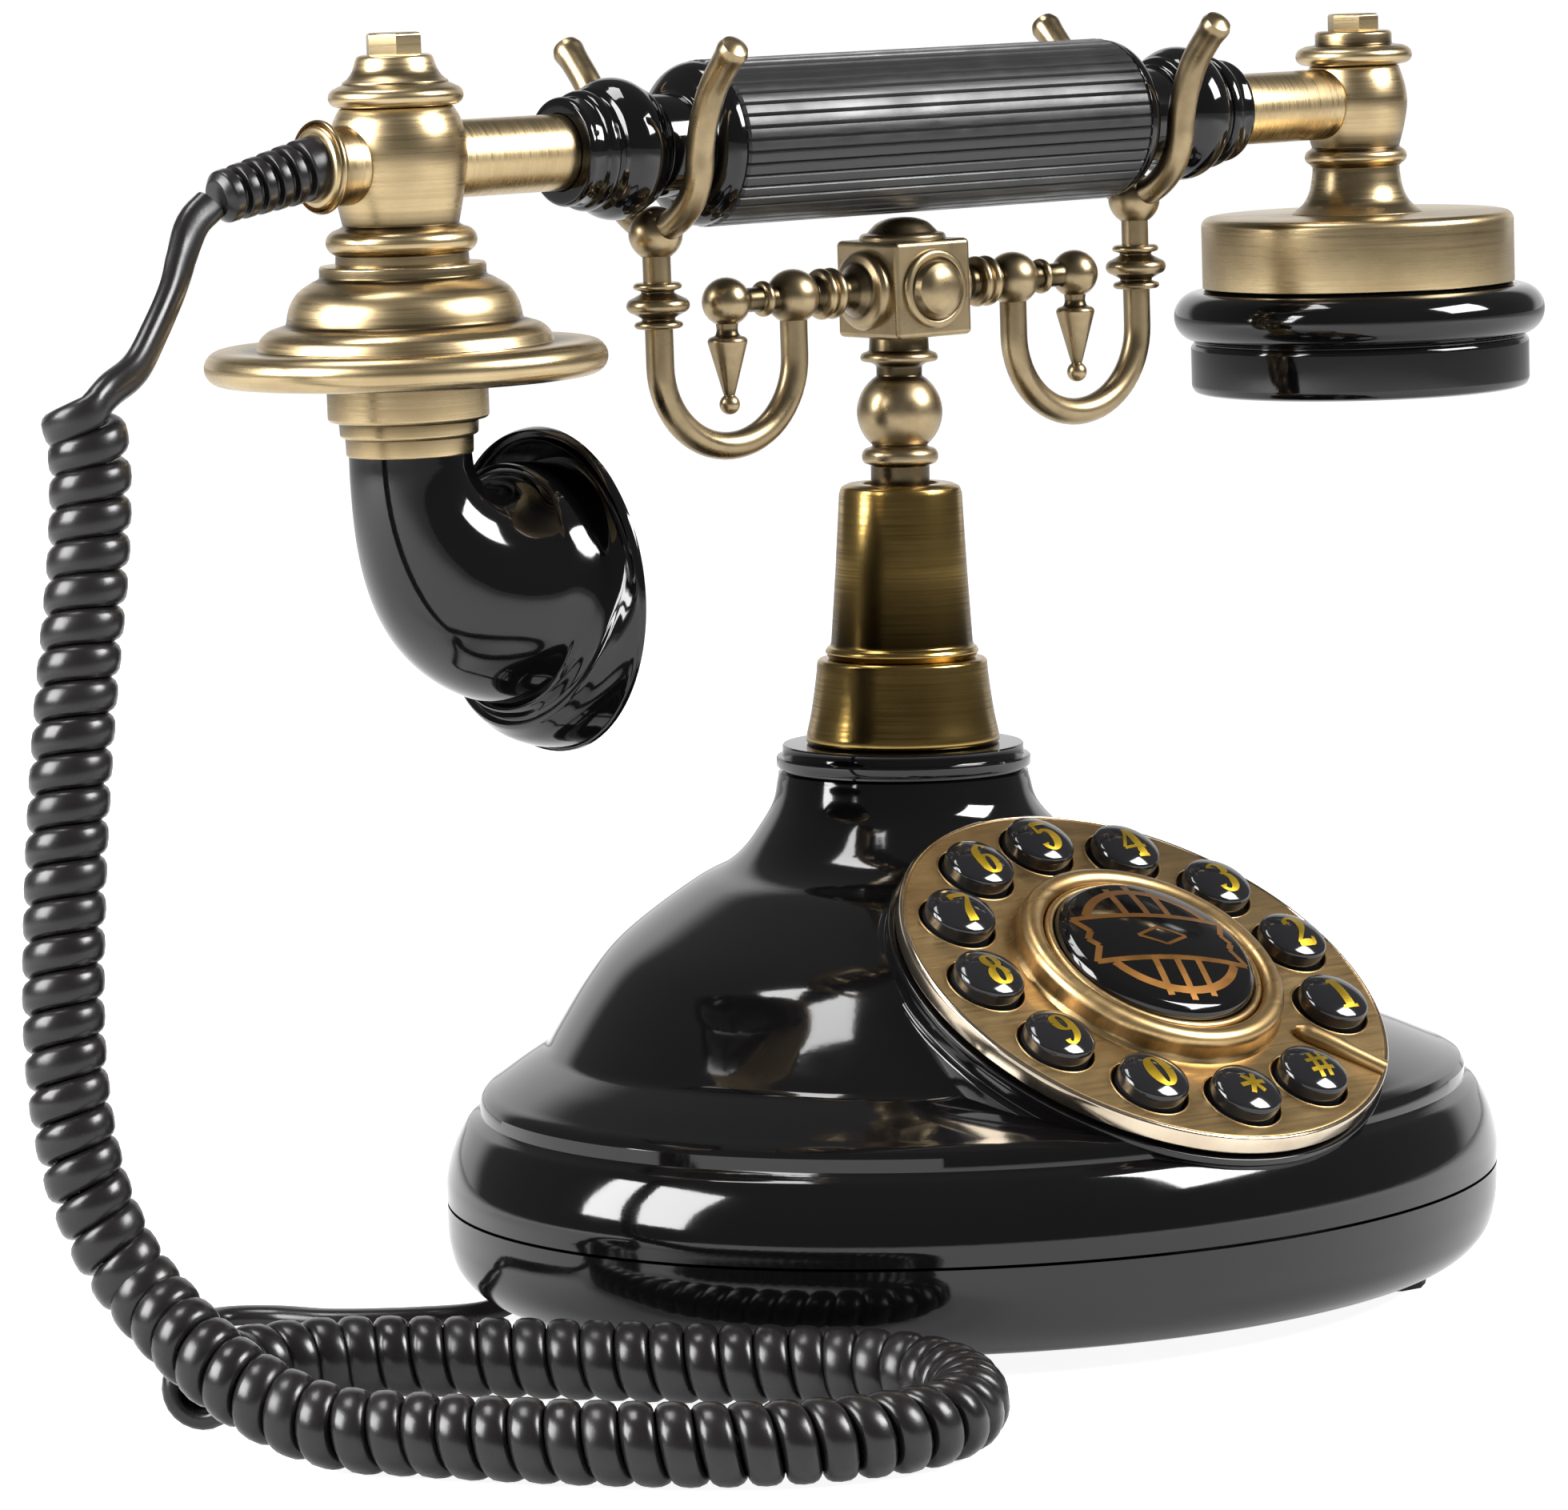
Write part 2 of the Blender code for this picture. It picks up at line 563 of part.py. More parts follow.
def build_ferrule():
    side = LEFT_HEAD @ ALONG_MINUS_X
    ferrule = [(0, 11.4), (6.2, 11.4), (6.2, 13.8), (7.2, 14.2), (7.2, 15.8), (0, 15.8)]
    turned("cord_ferrule", ferrule, "antique_brass", side, 12)
    droop = LEFT_HEAD @ shift(-16.1, 0, 0) @ Matrix.Rotation(math.radians(-12), 4, "Y") @ ALONG_MINUS_X
    relief = [(0, 1.4), (4.7, 1.4), (4.7, 2.6)]
    for rib in range(5):
        low = 3.3 + 2.9 * rib
        size = 4.8 - 0.14 * rib
        relief += [(size - 1.1, low), (size, low + 1.4)]
    relief += [(2.8, 18.4), (0, 18.4)]
    turned("strain_relief", relief, "cord_black", droop, TINY)


def build_receiver():
    head = [(0, -19.0), (11.0, -19.0), (9.2, -17.4), (8.2, -15.0), (7.7, -11.4), (8.6, -10.7), (8.6, -8.1)]
    head += [(7.7, -7.6), (8.9, -3.5), (9.2, 0.0), (8.7, 3.5), (7.8, 6.4), (0, 6.4)]
    barrel = turned("receiver_head", head, "antique_brass", RIGHT_HEAD @ turned_by(2.0))
    combine(barrel, turned_mesh(SOCKET, SMALL), RIGHT_HEAD @ shift(-7.2, 0, 0) @ ALONG_MINUS_X, "DIFFERENCE")
    cap = [(0, 6.7), (9.2, 6.7), (10.1, 8.2), (9.0, 9.9), (6.7, 10.3), (6.7, 12.3), (4.3, 12.6)]
    cap += [(4.3, 15.4), (0, 15.4)]
    turned("receiver_cap", cap, "antique_brass", RIGHT_HEAD)
    cup = [(0, -19.3), (25.8, -19.3), (27.5, -21.2), (27.5, -31.7), (23.0, -31.7), (23.0, -22.2), (0, -22.2)]
    turned("receiver_cup", cup, "antique_brass", RIGHT_HEAD, MEDIUM)
    cap = [(27.6, -32.0), *arc(28.4, -36.7, 4.2, 60, -75, 4), (29.7, -42.2), (29.7, -49.0), (28.2, -50.3)]
    cap += [(24.0, -50.3), (18.0, -47.6), (6.0, -46.6), (6.0, -44.2), (24.4, -44.2), (24.4, -32.0)]
    turned("ear_cap", cap, "black_gloss", RIGHT_HEAD, MEDIUM, hollow=True)
    phone = [(0, -43.9), (19.0, -43.9), (22.4, -40.0), (22.4, -30.0), (0, -30.0)]
    turned("earphone", phone, "steel", RIGHT_HEAD)


# ---- cord ----

UPPER_LEAD = (
    (-138.6, 18.8, 182.9),
    (-141.8, 18.2, 180.2),
    (-144.4, 17.2, 175.6),
    (-147.4, 15.7, 170.2),
    (-152.4, 14.0, 163.9),
    (-158.8, 12.4, 158.6),
    (-164.0, 11.4, 156.0),
)
COIL_AXIS = (
    (-165.4, 11.0, 153.6),
    (-167.9, 9.0, 131.0),
    (-172.2, 7.0, 108.0),
    (-176.0, 4.6, 84.0),
    (-178.8, 1.5, 60.0),
    (-178.6, -1.6, 43.0),
    (-176.0, -4.8, 31.0),
    (-173.2, -8.8, 23.6),
    (-172.2, -14.6, 19.6),
    (-171.6, -21.0, 16.2),
    (-169.8, -28.8, 12.2),
    (-166.4, -37.0, 8.6),
    (-162.0, -45.6, 6.6),
    (-155.6, -54.6, 6.4),
    (-147.6, -66.0, 6.4),
    (-136.6, -79.6, 6.4),
    (-124.0, -91.0, 6.4),
    (-109.0, -98.4, 6.4),
    (-95.0, -99.6, 6.4),
    (-84.4, -94.4, 6.4),
    (-76.6, -84.0, 6.4),
    (-74.4, -72.6, 6.4),
    (-78.8, -61.4, 6.4),
    (-87.2, -51.4, 6.4),
    (-97.6, -39.6, 6.4),
    (-108.4, -26.6, 6.4),
    (-120.4, -13.4, 6.4),
    (-133.0, -2.4, 6.4),
    (-146.0, 1.6, 6.4),
    (-156.4, -1.6, 6.4),
    (-162.6, -8.6, 6.4),
)
LOWER_LEAD = (
    (-164.4, -10.4, 6.0),
    (-164.5, -10.5, 10.5),
    (-163.4, -9.2, 14.6),
    (-161.2, -4.6, 15.6),
    (-158.2, 2.4, 15.4),
    (-154.5, 8.6, 12.4),
    (-150.6, 14.4, 6.4),
    (-146.0, 20.4, 2.2),
    (-140.0, 28.6, 1.6),
    (-131.0, 41.6, 1.6),
    (-124.0, 51.6, 1.6),
    (-117.4, 54.6, 1.6),
    (-110.6, 50.4, 1.6),
    (-104.6, 41.4, 1.6),
    (-93.0, 33.2, 1.6),
    (-82.0, 29.9, 1.6),
    (-76.4, 29.5, 3.6),
    (-71.9, 29.5, 7.0),
)


def build_cord():
    cord_curve("cord_lead_upper", UPPER_LEAD, LEAD_RADIUS, 2)
    cord_curve("cord_coil", COIL_AXIS, COIL_RADIUS, 1)
    cord_curve("cord_lead_lower", LOWER_LEAD, LEAD_RADIUS, 2)


def build():
    for old in list(bpy.data.objects):
        bpy.data.objects.remove(old, do_unlink=True)
    build_pan()
    build_housing()
    build_feet()
    build_jacks()
    build_insides()
    build_column()
    build_dial()
    build_cradle_post()
    for side, way, turn in (("left", -1, ALONG_MINUS_X), ("right", 1, ALONG_X)):
        build_arm(side, turn)
        build_hook(side, way)
        build_fork(side, way)
        build_collar(side, turn)
    build_grip()
    build_transmitter()
    build_horn()
    build_ferrule()
    build_receiver()
    build_cord()


build()
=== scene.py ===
"""The looks of a French-style cradle telephone: black gloss base, antique brass fittings, coiled cord.

Dimensions are in millimetres, and become metres where a mesh is made. The frame is the CAD model's.
"""

import math

import bmesh
import bpy
from mathutils import Matrix, Vector


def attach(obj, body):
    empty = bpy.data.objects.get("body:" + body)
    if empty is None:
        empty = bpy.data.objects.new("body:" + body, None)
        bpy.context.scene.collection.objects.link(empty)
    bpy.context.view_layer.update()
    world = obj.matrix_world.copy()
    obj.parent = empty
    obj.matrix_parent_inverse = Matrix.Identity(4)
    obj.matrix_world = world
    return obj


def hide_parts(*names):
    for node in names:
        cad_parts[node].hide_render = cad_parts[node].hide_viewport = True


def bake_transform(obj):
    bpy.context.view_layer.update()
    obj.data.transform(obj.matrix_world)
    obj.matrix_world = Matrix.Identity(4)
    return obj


MM = 0.001
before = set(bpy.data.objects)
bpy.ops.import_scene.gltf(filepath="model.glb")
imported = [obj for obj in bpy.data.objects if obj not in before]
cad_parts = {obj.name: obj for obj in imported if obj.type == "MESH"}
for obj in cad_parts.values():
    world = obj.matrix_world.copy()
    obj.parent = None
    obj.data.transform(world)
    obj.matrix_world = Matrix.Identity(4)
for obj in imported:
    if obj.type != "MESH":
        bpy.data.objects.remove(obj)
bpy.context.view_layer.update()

# ---- driving dimensions (mm), as in the CAD model ----
CENTRE_X = -2.6
COLUMN_Y = 18.8
BASE_HALF_WIDTH = 93.65
BASE_HALF_DEPTH = 76.75
FULL_REACH = 87.6
NECK_RADIUS = 20.9
DIAL_Y = -42.3
DIAL_Z = 57.1
DIAL_TILT = math.radians(31.8)
KEY_RING_RADIUS = 32.2
KEY_RADIUS = 5.8
KEY_FIRST_ANGLE = -26.3
KEY_STEP_ANGLE = 28.93
MEDALLION_TURN = -12
FINGER_STOP_ANGLE = -47
BAR_HEIGHT = 165.3
REST_TILT = math.radians(1.5)
BAR_SHIFT = 1.2
HANDSET_SHIFT = 2.3
HANDSET_RISE = 25.9
HEAD_X = 102.2
POST_X = 51.3
INNER_BALL_X = 23.6
OUTER_BALL_X = 37.4
BLOCK_HALF = 8.0
HOOK_RADIUS = 2.28
PRONG_RADIUS = 2.35
GRIP_RADIUS = 13.5
GRIP_HALF = 43.3
FLUTES = 42
FLUTE_DEPTHS = (0.0, 0.0, 0.0, 0.02, 0.55, 0.02)
TUBE_RADIUS = 6.1
HORN_WALL = 1.5
RELIEF_X = -16.1
RELIEF_DROOP = -12

# ---- camera ----
CAMERA_AT = (-683.5, -814.3, 213.3)
CAMERA_AZIMUTH = -38.197
CAMERA_PITCH = 6.674
CAMERA_ROLL = -0.707
LENS = 148.45


def make_camera():
    az, pitch = math.radians(CAMERA_AZIMUTH), math.radians(CAMERA_PITCH)
    right = Vector((math.cos(az), math.sin(az), 0))
    back = Vector((math.sin(az) * math.cos(pitch), -math.cos(az) * math.cos(pitch), math.sin(pitch)))
    up = back.cross(right)
    turn = Matrix.Rotation(math.radians(CAMERA_ROLL), 4, "Z")
    axes = Matrix((right, up, back)).transposed().to_4x4()
    data = bpy.data.cameras.new("camera")
    data.lens = LENS
    data.sensor_width = 36
    data.sensor_fit = "AUTO"
    camera = bpy.data.objects.new("camera", data)
    bpy.context.scene.collection.objects.link(camera)
    camera.matrix_world = Matrix.Translation(Vector(CAMERA_AT) * MM) @ axes @ turn
    bpy.context.scene.camera = camera


# ---- frames ----


def shift(x, y, z):
    return Matrix.Translation(Vector((x, y, z)) * MM)


def about_z(degrees):
    return Matrix.Rotation(math.radians(degrees), 4, "Z")


WORLD = Matrix.Identity(4)
BASE = shift(CENTRE_X, 0, 0)
COLUMN = shift(CENTRE_X, COLUMN_Y, 0)
DIAL = shift(CENTRE_X, DIAL_Y, DIAL_Z) @ Matrix.Rotation(DIAL_TILT, 4, "X")
BAR = shift(CENTRE_X, COLUMN_Y, BAR_HEIGHT) @ Matrix.Rotation(-REST_TILT, 4, "Y") @ shift(BAR_SHIFT, 0, 0)
HANDSET = BAR @ shift(HANDSET_SHIFT - BAR_SHIFT, 0, HANDSET_RISE)
LEFT_HEAD = HANDSET @ shift(-HEAD_X, 0, 0)
RIGHT_HEAD = HANDSET @ shift(HEAD_X, 0, 0)
ALONG_X = Matrix.Rotation(math.radians(90), 4, "Y")
ALONG_MINUS_X = Matrix.Rotation(math.radians(-90), 4, "Y")

# ---- materials ----


def linear(red, green, blue):
    """A colour from its 0 to 255 screen values."""
    found = []
    for value in (red, green, blue):
        v = value / 255
        found.append(v / 12.92 if v <= 0.04045 else ((v + 0.055) / 1.055) ** 2.4)
    return (*found, 1.0)


class Nodes:
    """A small wrapper that adds nodes to one material and links them."""

    def __init__(self, name):
        self.material = bpy.data.materials.new(name)
        self.material.use_nodes = True
        self.tree = self.material.node_tree
        self.shader = self.tree.nodes["Principled BSDF"]

    def add(self, kind, **values):
        node = self.tree.nodes.new(kind)
        for key, value in values.items():
            setattr(node, key, value)
        return node

    def link(self, output, socket):
        self.tree.links.new(output, socket)

    def coordinates(self, scale):
        mapping = self.add("ShaderNodeMapping")
        mapping.inputs["Scale"].default_value = scale
        self.link(self.add("ShaderNodeTexCoord").outputs["Object"], mapping.inputs["Vector"])
        return mapping.outputs["Vector"]

    def noise(self, scale, detail=4.0, stretch=(1, 1, 1), rough=0.5):
        noise = self.add("ShaderNodeTexNoise")
        noise.inputs["Scale"].default_value = scale
        noise.inputs["Detail"].default_value = detail
        noise.inputs["Roughness"].default_value = rough
        self.link(self.coordinates(stretch), noise.inputs["Vector"])
        return noise.outputs["Fac"]

    def remap(self, value, low, high, to_low, to_high):
        node = self.add("ShaderNodeMapRange")
        node.inputs["From Min"].default_value = low
        node.inputs["From Max"].default_value = high
        node.inputs["To Min"].default_value = to_low
        node.inputs["To Max"].default_value = to_high
        self.link(value, node.inputs["Value"])
        return node.outputs["Result"]

    def mix(self, factor, a, b):
        node = self.add("ShaderNodeMix", data_type="RGBA")
        self.link(factor, node.inputs["Factor"])
        for socket, colour in ((node.inputs["A"], a), (node.inputs["B"], b)):
            if isinstance(colour, tuple):
                socket.default_value = colour
            else:
                self.link(colour, socket)
        return node.outputs["Result"]

    def bump(self, height, strength, distance):
        node = self.add("ShaderNodeBump")
        node.inputs["Strength"].default_value = strength
        node.inputs["Distance"].default_value = distance
        self.link(height, node.inputs["Height"])
        self.link(node.outputs["Normal"], self.shader.inputs["Normal"])

    def set(self, **values):
        for key, value in values.items():
            self.shader.inputs[key.replace("_", " ")].default_value = value


def plastic(name, dark, light, rough, grain=900.0, bump=0.02, specular=0.5):
    """Plastic, lacquer or rubber with faint clouds, uneven gloss and a fine grain."""
    n = Nodes(name)
    n.shader.inputs["Specular IOR Level"].default_value = specular
    n.link(n.mix(n.noise(60.0), dark, light), n.shader.inputs["Base Color"])
    uneven = n.remap(n.noise(140.0, 6.0), 0.3, 0.7, rough * 0.8, rough * 1.25)
    n.link(uneven, n.shader.inputs["Roughness"])
    n.bump(n.noise(grain, 3.0), bump, 0.0002)
    return n.material


def metal(name, bright, dark, rough, lines=(1.0, 1.0, 60.0), streak=0.22, anisotropy=0.45):
    """Antique metal: fine lines from brushing, cloudy tarnish, and patina plus painted shade in hollows."""
    n = Nodes(name)
    n.set(Metallic=1.0, Anisotropic=anisotropy)
    brushed = n.noise(28.0, 5.0, lines, 0.65)
    cloudy = n.remap(n.noise(70.0, 4.0), 0.35, 0.7, 0.0, 0.45)
    # Darker where the shape is hollow: partly patina, partly painted shade standing in for occlusion.
    shade_and_patina = n.add("ShaderNodeAttribute", attribute_name="patina_and_shade")
    toned = n.mix(n.remap(brushed, 0.3, 0.7, 0.0, streak), bright, dark)
    clouded = n.mix(cloudy, toned, dark)
    shaded_patina_colour = tuple(0.25 * c for c in dark[:3]) + (1.0,)
    n.link(n.mix(shade_and_patina.outputs["Fac"], clouded, shaded_patina_colour), n.shader.inputs["Base Color"])
    n.link(n.remap(brushed, 0.3, 0.7, rough * 0.8, rough * 1.3), n.shader.inputs["Roughness"])
    around = n.add("ShaderNodeTangent", direction_type="RADIAL", axis="Z")
    n.link(around.outputs["Tangent"], n.shader.inputs["Tangent"])
    n.bump(brushed, 0.04, 0.0001)
    return n.material


LOOKS = {
    "black_gloss": plastic("black_gloss", linear(8, 7, 8), linear(11, 10, 11), 0.07),
    "black_satin": plastic("black_satin", linear(26, 26, 27), linear(34, 34, 35), 0.36, 1500.0, 0.08),
    "key_black": plastic("key_black", linear(22, 22, 24), linear(28, 28, 30), 0.08),
    "cord_black": plastic("cord_black", linear(19, 17, 18), linear(25, 23, 24), 0.27, 1800.0, 0.05, 0.42),
    "foot_rubber": plastic("foot_rubber", linear(24, 24, 24), linear(34, 34, 34), 0.8, 1500.0, 0.3),
    "board_green": plastic("board_green", linear(20, 70, 40), linear(30, 90, 50), 0.5),
    "clear_plug": plastic("clear_plug", linear(190, 195, 198), linear(215, 218, 220), 0.15),
    "antique_brass": metal("antique_brass", linear(192, 172, 134), linear(122, 100, 66), 0.27),
    "dark_bronze": metal(
        "dark_bronze", linear(166, 148, 116), linear(100, 85, 60), 0.30, (8, 8, 8), 0.3, 0.0,
    ),
    "column_brass": metal("column_brass", linear(194, 164, 98), linear(88, 66, 30), 0.2, (1, 1, 90), 0.85),
    "dial_brass": metal(
        "dial_brass", linear(208, 177, 126), linear(120, 92, 54), 0.33, (2, 40, 2), 0.5, 0.2,
    ),
    "polished_brass": metal(
        "polished_brass", linear(224, 210, 188), linear(150, 124, 92), 0.12, (4, 4, 4), 0.2, 0.0,
    ),
    "steel": metal("steel", linear(190, 190, 192), linear(130, 130, 132), 0.3),
    "gold_print": metal("gold_print", linear(226, 190, 60), linear(170, 138, 30), 0.32, (6, 6, 6), 0.3, 0.0),
    "copper_print": metal(
        "copper_print", linear(172, 122, 66), linear(124, 84, 46), 0.35, (6, 6, 6), 0.3, 0.0,
    ),
}

# ---- mesh tools ----


def place(mesh, name, look, where, body, stands_for=()):
    """Makes a visible piece, which rides on a body and can stand for CAD nodes."""
    mesh.name = name
    mesh.materials.append(LOOKS[look])
    made = bpy.data.objects.new(name, mesh)
    bpy.context.scene.collection.objects.link(made)
    made.matrix_world = where
    if body:
        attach(made, body)
    if stands_for:
        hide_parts(*stands_for)
    return made


def mesh_from(points, faces, patina_and_shade=None, angle=40):
    mesh = bpy.data.meshes.new("piece")
    mesh.from_pydata([tuple(Vector(p) * MM) for p in points], [], faces)
    # Per-point darkening kept on the mesh: patina together with painted shade in hollows.
    if patina_and_shade:
        shade_and_patina = mesh.attributes.new("patina_and_shade", "FLOAT", "POINT")
        shade_and_patina.data.foreach_set("value", patina_and_shade)
    work = bmesh.new()
    work.from_mesh(mesh)
    bmesh.ops.recalc_face_normals(work, faces=work.faces)
    if work.calc_volume(signed=True) < 0:
        bmesh.ops.reverse_faces(work, faces=work.faces)
    work.to_mesh(mesh)
    work.free()
    mesh.shade_smooth()
    mesh.set_sharp_from_angle(angle=math.radians(angle))
    return mesh


def skin(rings, closed=False, patina_and_shade=None, angle=40):
    """Faces over a row of rings of equal count. The ends are capped, or the row closes on itself."""
    count = len(rings[0])
    points = [p for ring in rings for p in ring]
    faces = []
    for i in range(len(rings) if closed else len(rings) - 1):
        low, high = i * count, (i + 1) % len(rings) * count
        for j in range(count):
            k = (j + 1) % count
            faces.append((low + j, low + k, high + k, high + j))
    if not closed:
        faces.append(tuple(range(count)))
        faces.append(tuple(range(len(points) - count, len(points))))
    shade_and_patina = [w for w in patina_and_shade for _ in range(count)] if patina_and_shade else None
    return mesh_from(points, faces, shade_and_patina, angle)


def spline(points, steps=6):
    """Points on a smooth curve through the given points, in any number of dimensions."""
    knots = [Vector(p) for p in points]
    knots = [knots[0] * 2 - knots[1], *knots, knots[-1] * 2 - knots[-2]]
    found = []
    for i in range(1, len(knots) - 2):
        p0, p1, p2, p3 = knots[i - 1 : i + 3]
        for j in range(steps):
            t = j / steps
            cubic = (p1 * 3 - p0 - p2 * 3 + p3) * t**3
            found.append((p1 * 2 + (p2 - p0) * t + (p0 * 2 - p1 * 5 + p2 * 4 - p3) * t * t + cubic) * 0.5)
    return [*found, knots[-2]]


def direction(line, i):
    """The way in which a line runs at one of its points."""
    return (line[min(i + 1, len(line) - 1)] - line[max(i - 1, 0)]).normalized()


def softened(outline, size=0.35):
    """The profile with each sharp corner turned into a small round."""
    points = [Vector(p[:2]) for p in outline]
    found = [points[0]]
    for before, corner, after in zip(points, points[1:], points[2:]):
        a, b = before - corner, after - corner
        if a.length < 0.05 or b.length < 0.05 or abs(a.angle(b) - math.pi) < 0.3:
            found.append(corner)
            continue
        reach = min(size, a.length * 0.42, b.length * 0.42)
        start, end = corner + a.normalized() * reach, corner + b.normalized() * reach
        for t in (0.0, 0.25, 0.5, 0.75, 1.0):
            found.append(start * (1 - t) ** 2 + corner * (2 * t * (1 - t)) + end * t * t)
    return [*found, points[-1]]


def hollowness(outline, reach=1.5):
    """How far each point of a profile lies inside the shape around it, from 0 to 1."""
    found = []
    for i, point in enumerate(outline):
        near = [q for q in outline[max(0, i - 12) : i + 13] if 0 < (q - point).length <= reach * 1.8]
        if not near or point.x < 0.5:
            found.append(0.0)
            continue
        along = direction(outline, i)
        outward = Vector((along.y, -along.x))
        middle = sum(near, Vector((0.0, 0.0))) / len(near)
        found.append(max(0.0, min(0.85, (middle - point).dot(outward) * 2.2)))
    return found


def lathe_mesh(outline, count=96, hollow=False, round_off=0.35, patina_and_shade=True):
    """A profile of (radius, height) points turned about Z. A hollow one is a closed ring."""
    profile = softened(outline, round_off)
    if profile[0].y > profile[-1].y:
        profile = profile[::-1]
    # How hollow each profile point is becomes painted shade together with patina on metal.
    shade_and_patina = hollowness(profile) if patina_and_shade else None
    turns = [math.tau * i / count for i in range(count)]
    rings = [
        [(max(p.x, 0.02) * math.cos(t), max(p.x, 0.02) * math.sin(t), p.y) for t in turns]
        for p in profile
    ]
    return skin(rings, hollow, shade_and_patina)


def lathe(name, outline, look, where, body, stands_for=(), count=96, hollow=False, round_off=0.35):
    mesh = lathe_mesh(outline, count, hollow, round_off)
    return place(mesh, name, look, where, body, stands_for)


def arc(radius, z, size, start, end, steps=12):
    angles = [math.radians(start + (end - start) * i / steps) for i in range(steps + 1)]
    return [(radius + size * math.cos(a), z + size * math.sin(a)) for a in angles]


def box_mesh(low, high):
    points = [(x, y, z) for z in (low[2], high[2]) for y in (low[1], high[1]) for x in (low[0], high[0])]
    faces = [(0, 1, 3, 2), (4, 6, 7, 5), (0, 4, 5, 1), (2, 3, 7, 6), (0, 2, 6, 4), (1, 5, 7, 3)]
    return mesh_from(points, faces)


def tube_mesh(points, radii, count=20):
    """A round bar along a line, with its own radius at each point."""
    points = [Vector(p) for p in points]
    tangents = [direction(points, i) for i in range(len(points))]
    side = tangents[0].orthogonal().normalized()
    turns = [math.tau * i / count for i in range(count)]
    rings = []
    for point, tangent, radius in zip(points, tangents, radii):
        side = (side - tangent * side.dot(tangent)).normalized()
        up = tangent.cross(side)
        rings.append([point + (side * math.cos(t) + up * math.sin(t)) * radius for t in turns])
    # Every bar gets a slight even darkening, through the attribute that carries patina and painted shade.
    return skin(rings, patina_and_shade=[0.12] * len(rings))


def cut(piece, mesh, where):
    """Takes the shape of a mesh out of a piece for good."""
    helper = bpy.data.objects.new("cutter", mesh)
    bpy.context.scene.collection.objects.link(helper)
    helper.matrix_world = where
    change = piece.modifiers.new("cut", "BOOLEAN")
    change.operation = "DIFFERENCE"
    change.object = helper
    bpy.context.view_layer.update()
    graph = bpy.context.evaluated_depsgraph_get()
    done = bpy.data.meshes.new_from_object(piece.evaluated_get(graph))
    piece.modifiers.remove(change)
    done.set_sharp_from_angle(angle=math.radians(30))
    piece.data = done
    bpy.data.objects.remove(helper, do_unlink=True)


# ---- cord ----

CORD_WIDTH = 5.35
CORD_THICKNESS = 3.0
COIL_RADIUS = 6.25
COIL_PITCH = 5.4
STEPS_PER_TURN = 24
COIL_START = math.radians(75)
LEAD_STEP_UPPER = 1.2
LEAD_STEP_LOWER = 1.5
LEAD_TWIST_STEPS = 8
CORD_EXIT = (-138.2, 18.8, 183.1)
UPPER_LEAD = (
    CORD_EXIT,
    (-141.8, 18.2, 180.2),
    (-144.4, 17.2, 175.6),
    (-147.4, 15.7, 170.2),
    (-152.4, 13.4, 163.9),
    (-157.6, 10.6, 159.0),
)
COIL_AXIS = (
    (-167.8, 10.6, 153.8),
    (-166.6, 10.0, 146.0),
    (-167.9, 9.0, 131.0),
    (-172.2, 7.0, 108.0),
    (-176.0, 4.6, 84.0),
    (-178.8, 1.5, 60.0),
    (-178.6, -1.6, 43.0),
    (-176.0, -4.8, 31.0),
    (-173.2, -8.8, 23.6),
    (-172.2, -14.6, 19.6),
    (-171.6, -21.0, 16.2),
    (-169.8, -28.8, 12.2),
    (-166.4, -37.0, 8.6),
    (-162.0, -45.6, 6.6),
    (-155.6, -54.6, 6.4),
    (-147.6, -66.0, 6.4),
    (-136.6, -79.6, 6.4),
    (-124.0, -91.0, 6.4),
    (-109.0, -98.4, 6.4),
    (-95.0, -99.6, 6.4),
    (-84.4, -94.4, 6.4),
    (-76.6, -84.0, 6.4),
    (-74.4, -72.6, 6.4),
    (-78.8, -61.4, 6.4),
    (-87.2, -51.4, 6.4),
    (-97.6, -39.6, 6.4),
    (-108.4, -26.6, 6.4),
    (-120.4, -13.4, 6.4),
    (-133.0, -2.4, 6.4),
    (-146.0, 1.6, 6.4),
    (-156.4, -1.6, 6.4),
    (-162.6, -8.6, 6.4),
)
LOWER_LEAD = (
    (-163.4, -9.2, 15.0),
    (-161.2, -4.6, 16.0),
    (-158.2, 2.4, 15.6),
    (-154.5, 8.6, 12.4),
    (-150.6, 14.4, 6.4),
    (-146.0, 20.4, 2.2),
    (-140.0, 28.6, 1.75),
    (-131.0, 41.6, 1.75),
    (-124.0, 51.6, 1.75),
    (-117.4, 54.6, 1.75),
    (-110.6, 50.4, 1.75),
    (-104.6, 41.4, 1.75),
    (-93.0, 33.2, 1.75),
    (-82.0, 29.9, 1.75),
    (-76.4, 29.5, 3.6),
    (-71.4, 29.5, 7.2),
)
CORD_NODES = ("cord_lead_upper", "cord_coil", "cord_lead_lower")
TOWARDS_CAMERA = Vector((-0.618, -0.786, 0.0))
TO_THE_RIGHT = Vector((0.786, -0.618, 0.0))


def evenly(points, step):
    """The same line with points a fixed distance apart."""
    line = [Vector(p) for p in points]
    found, left = [line[0]], step
    for a, b in zip(line, line[1:]):
        length = (b - a).length
        while left <= length:
            found.append(a.lerp(b, left / length))
            left += step
        left -= length
    return found


def coil_path():
    """Points and outward directions of the ribbon, wound round the coil's axis as a right-handed helix."""
    advance = COIL_PITCH / STEPS_PER_TURN
    axis = evenly(spline(COIL_AXIS, 12), advance)
    wound = COIL_RADIUS - CORD_THICKNESS / 2
    side = TOWARDS_CAMERA * math.cos(COIL_START) + TO_THE_RIGHT * math.sin(COIL_START)
    points, outs = [], []
    for i, centre in enumerate(axis):
        along = direction(axis, i)
        side = (side - along * side.dot(along)).normalized()
        turn = math.tau * i / STEPS_PER_TURN
        out = side * math.cos(turn) + along.cross(side) * math.sin(turn)
        points.append(centre + out * wound)
        outs.append(out)
    return points, outs


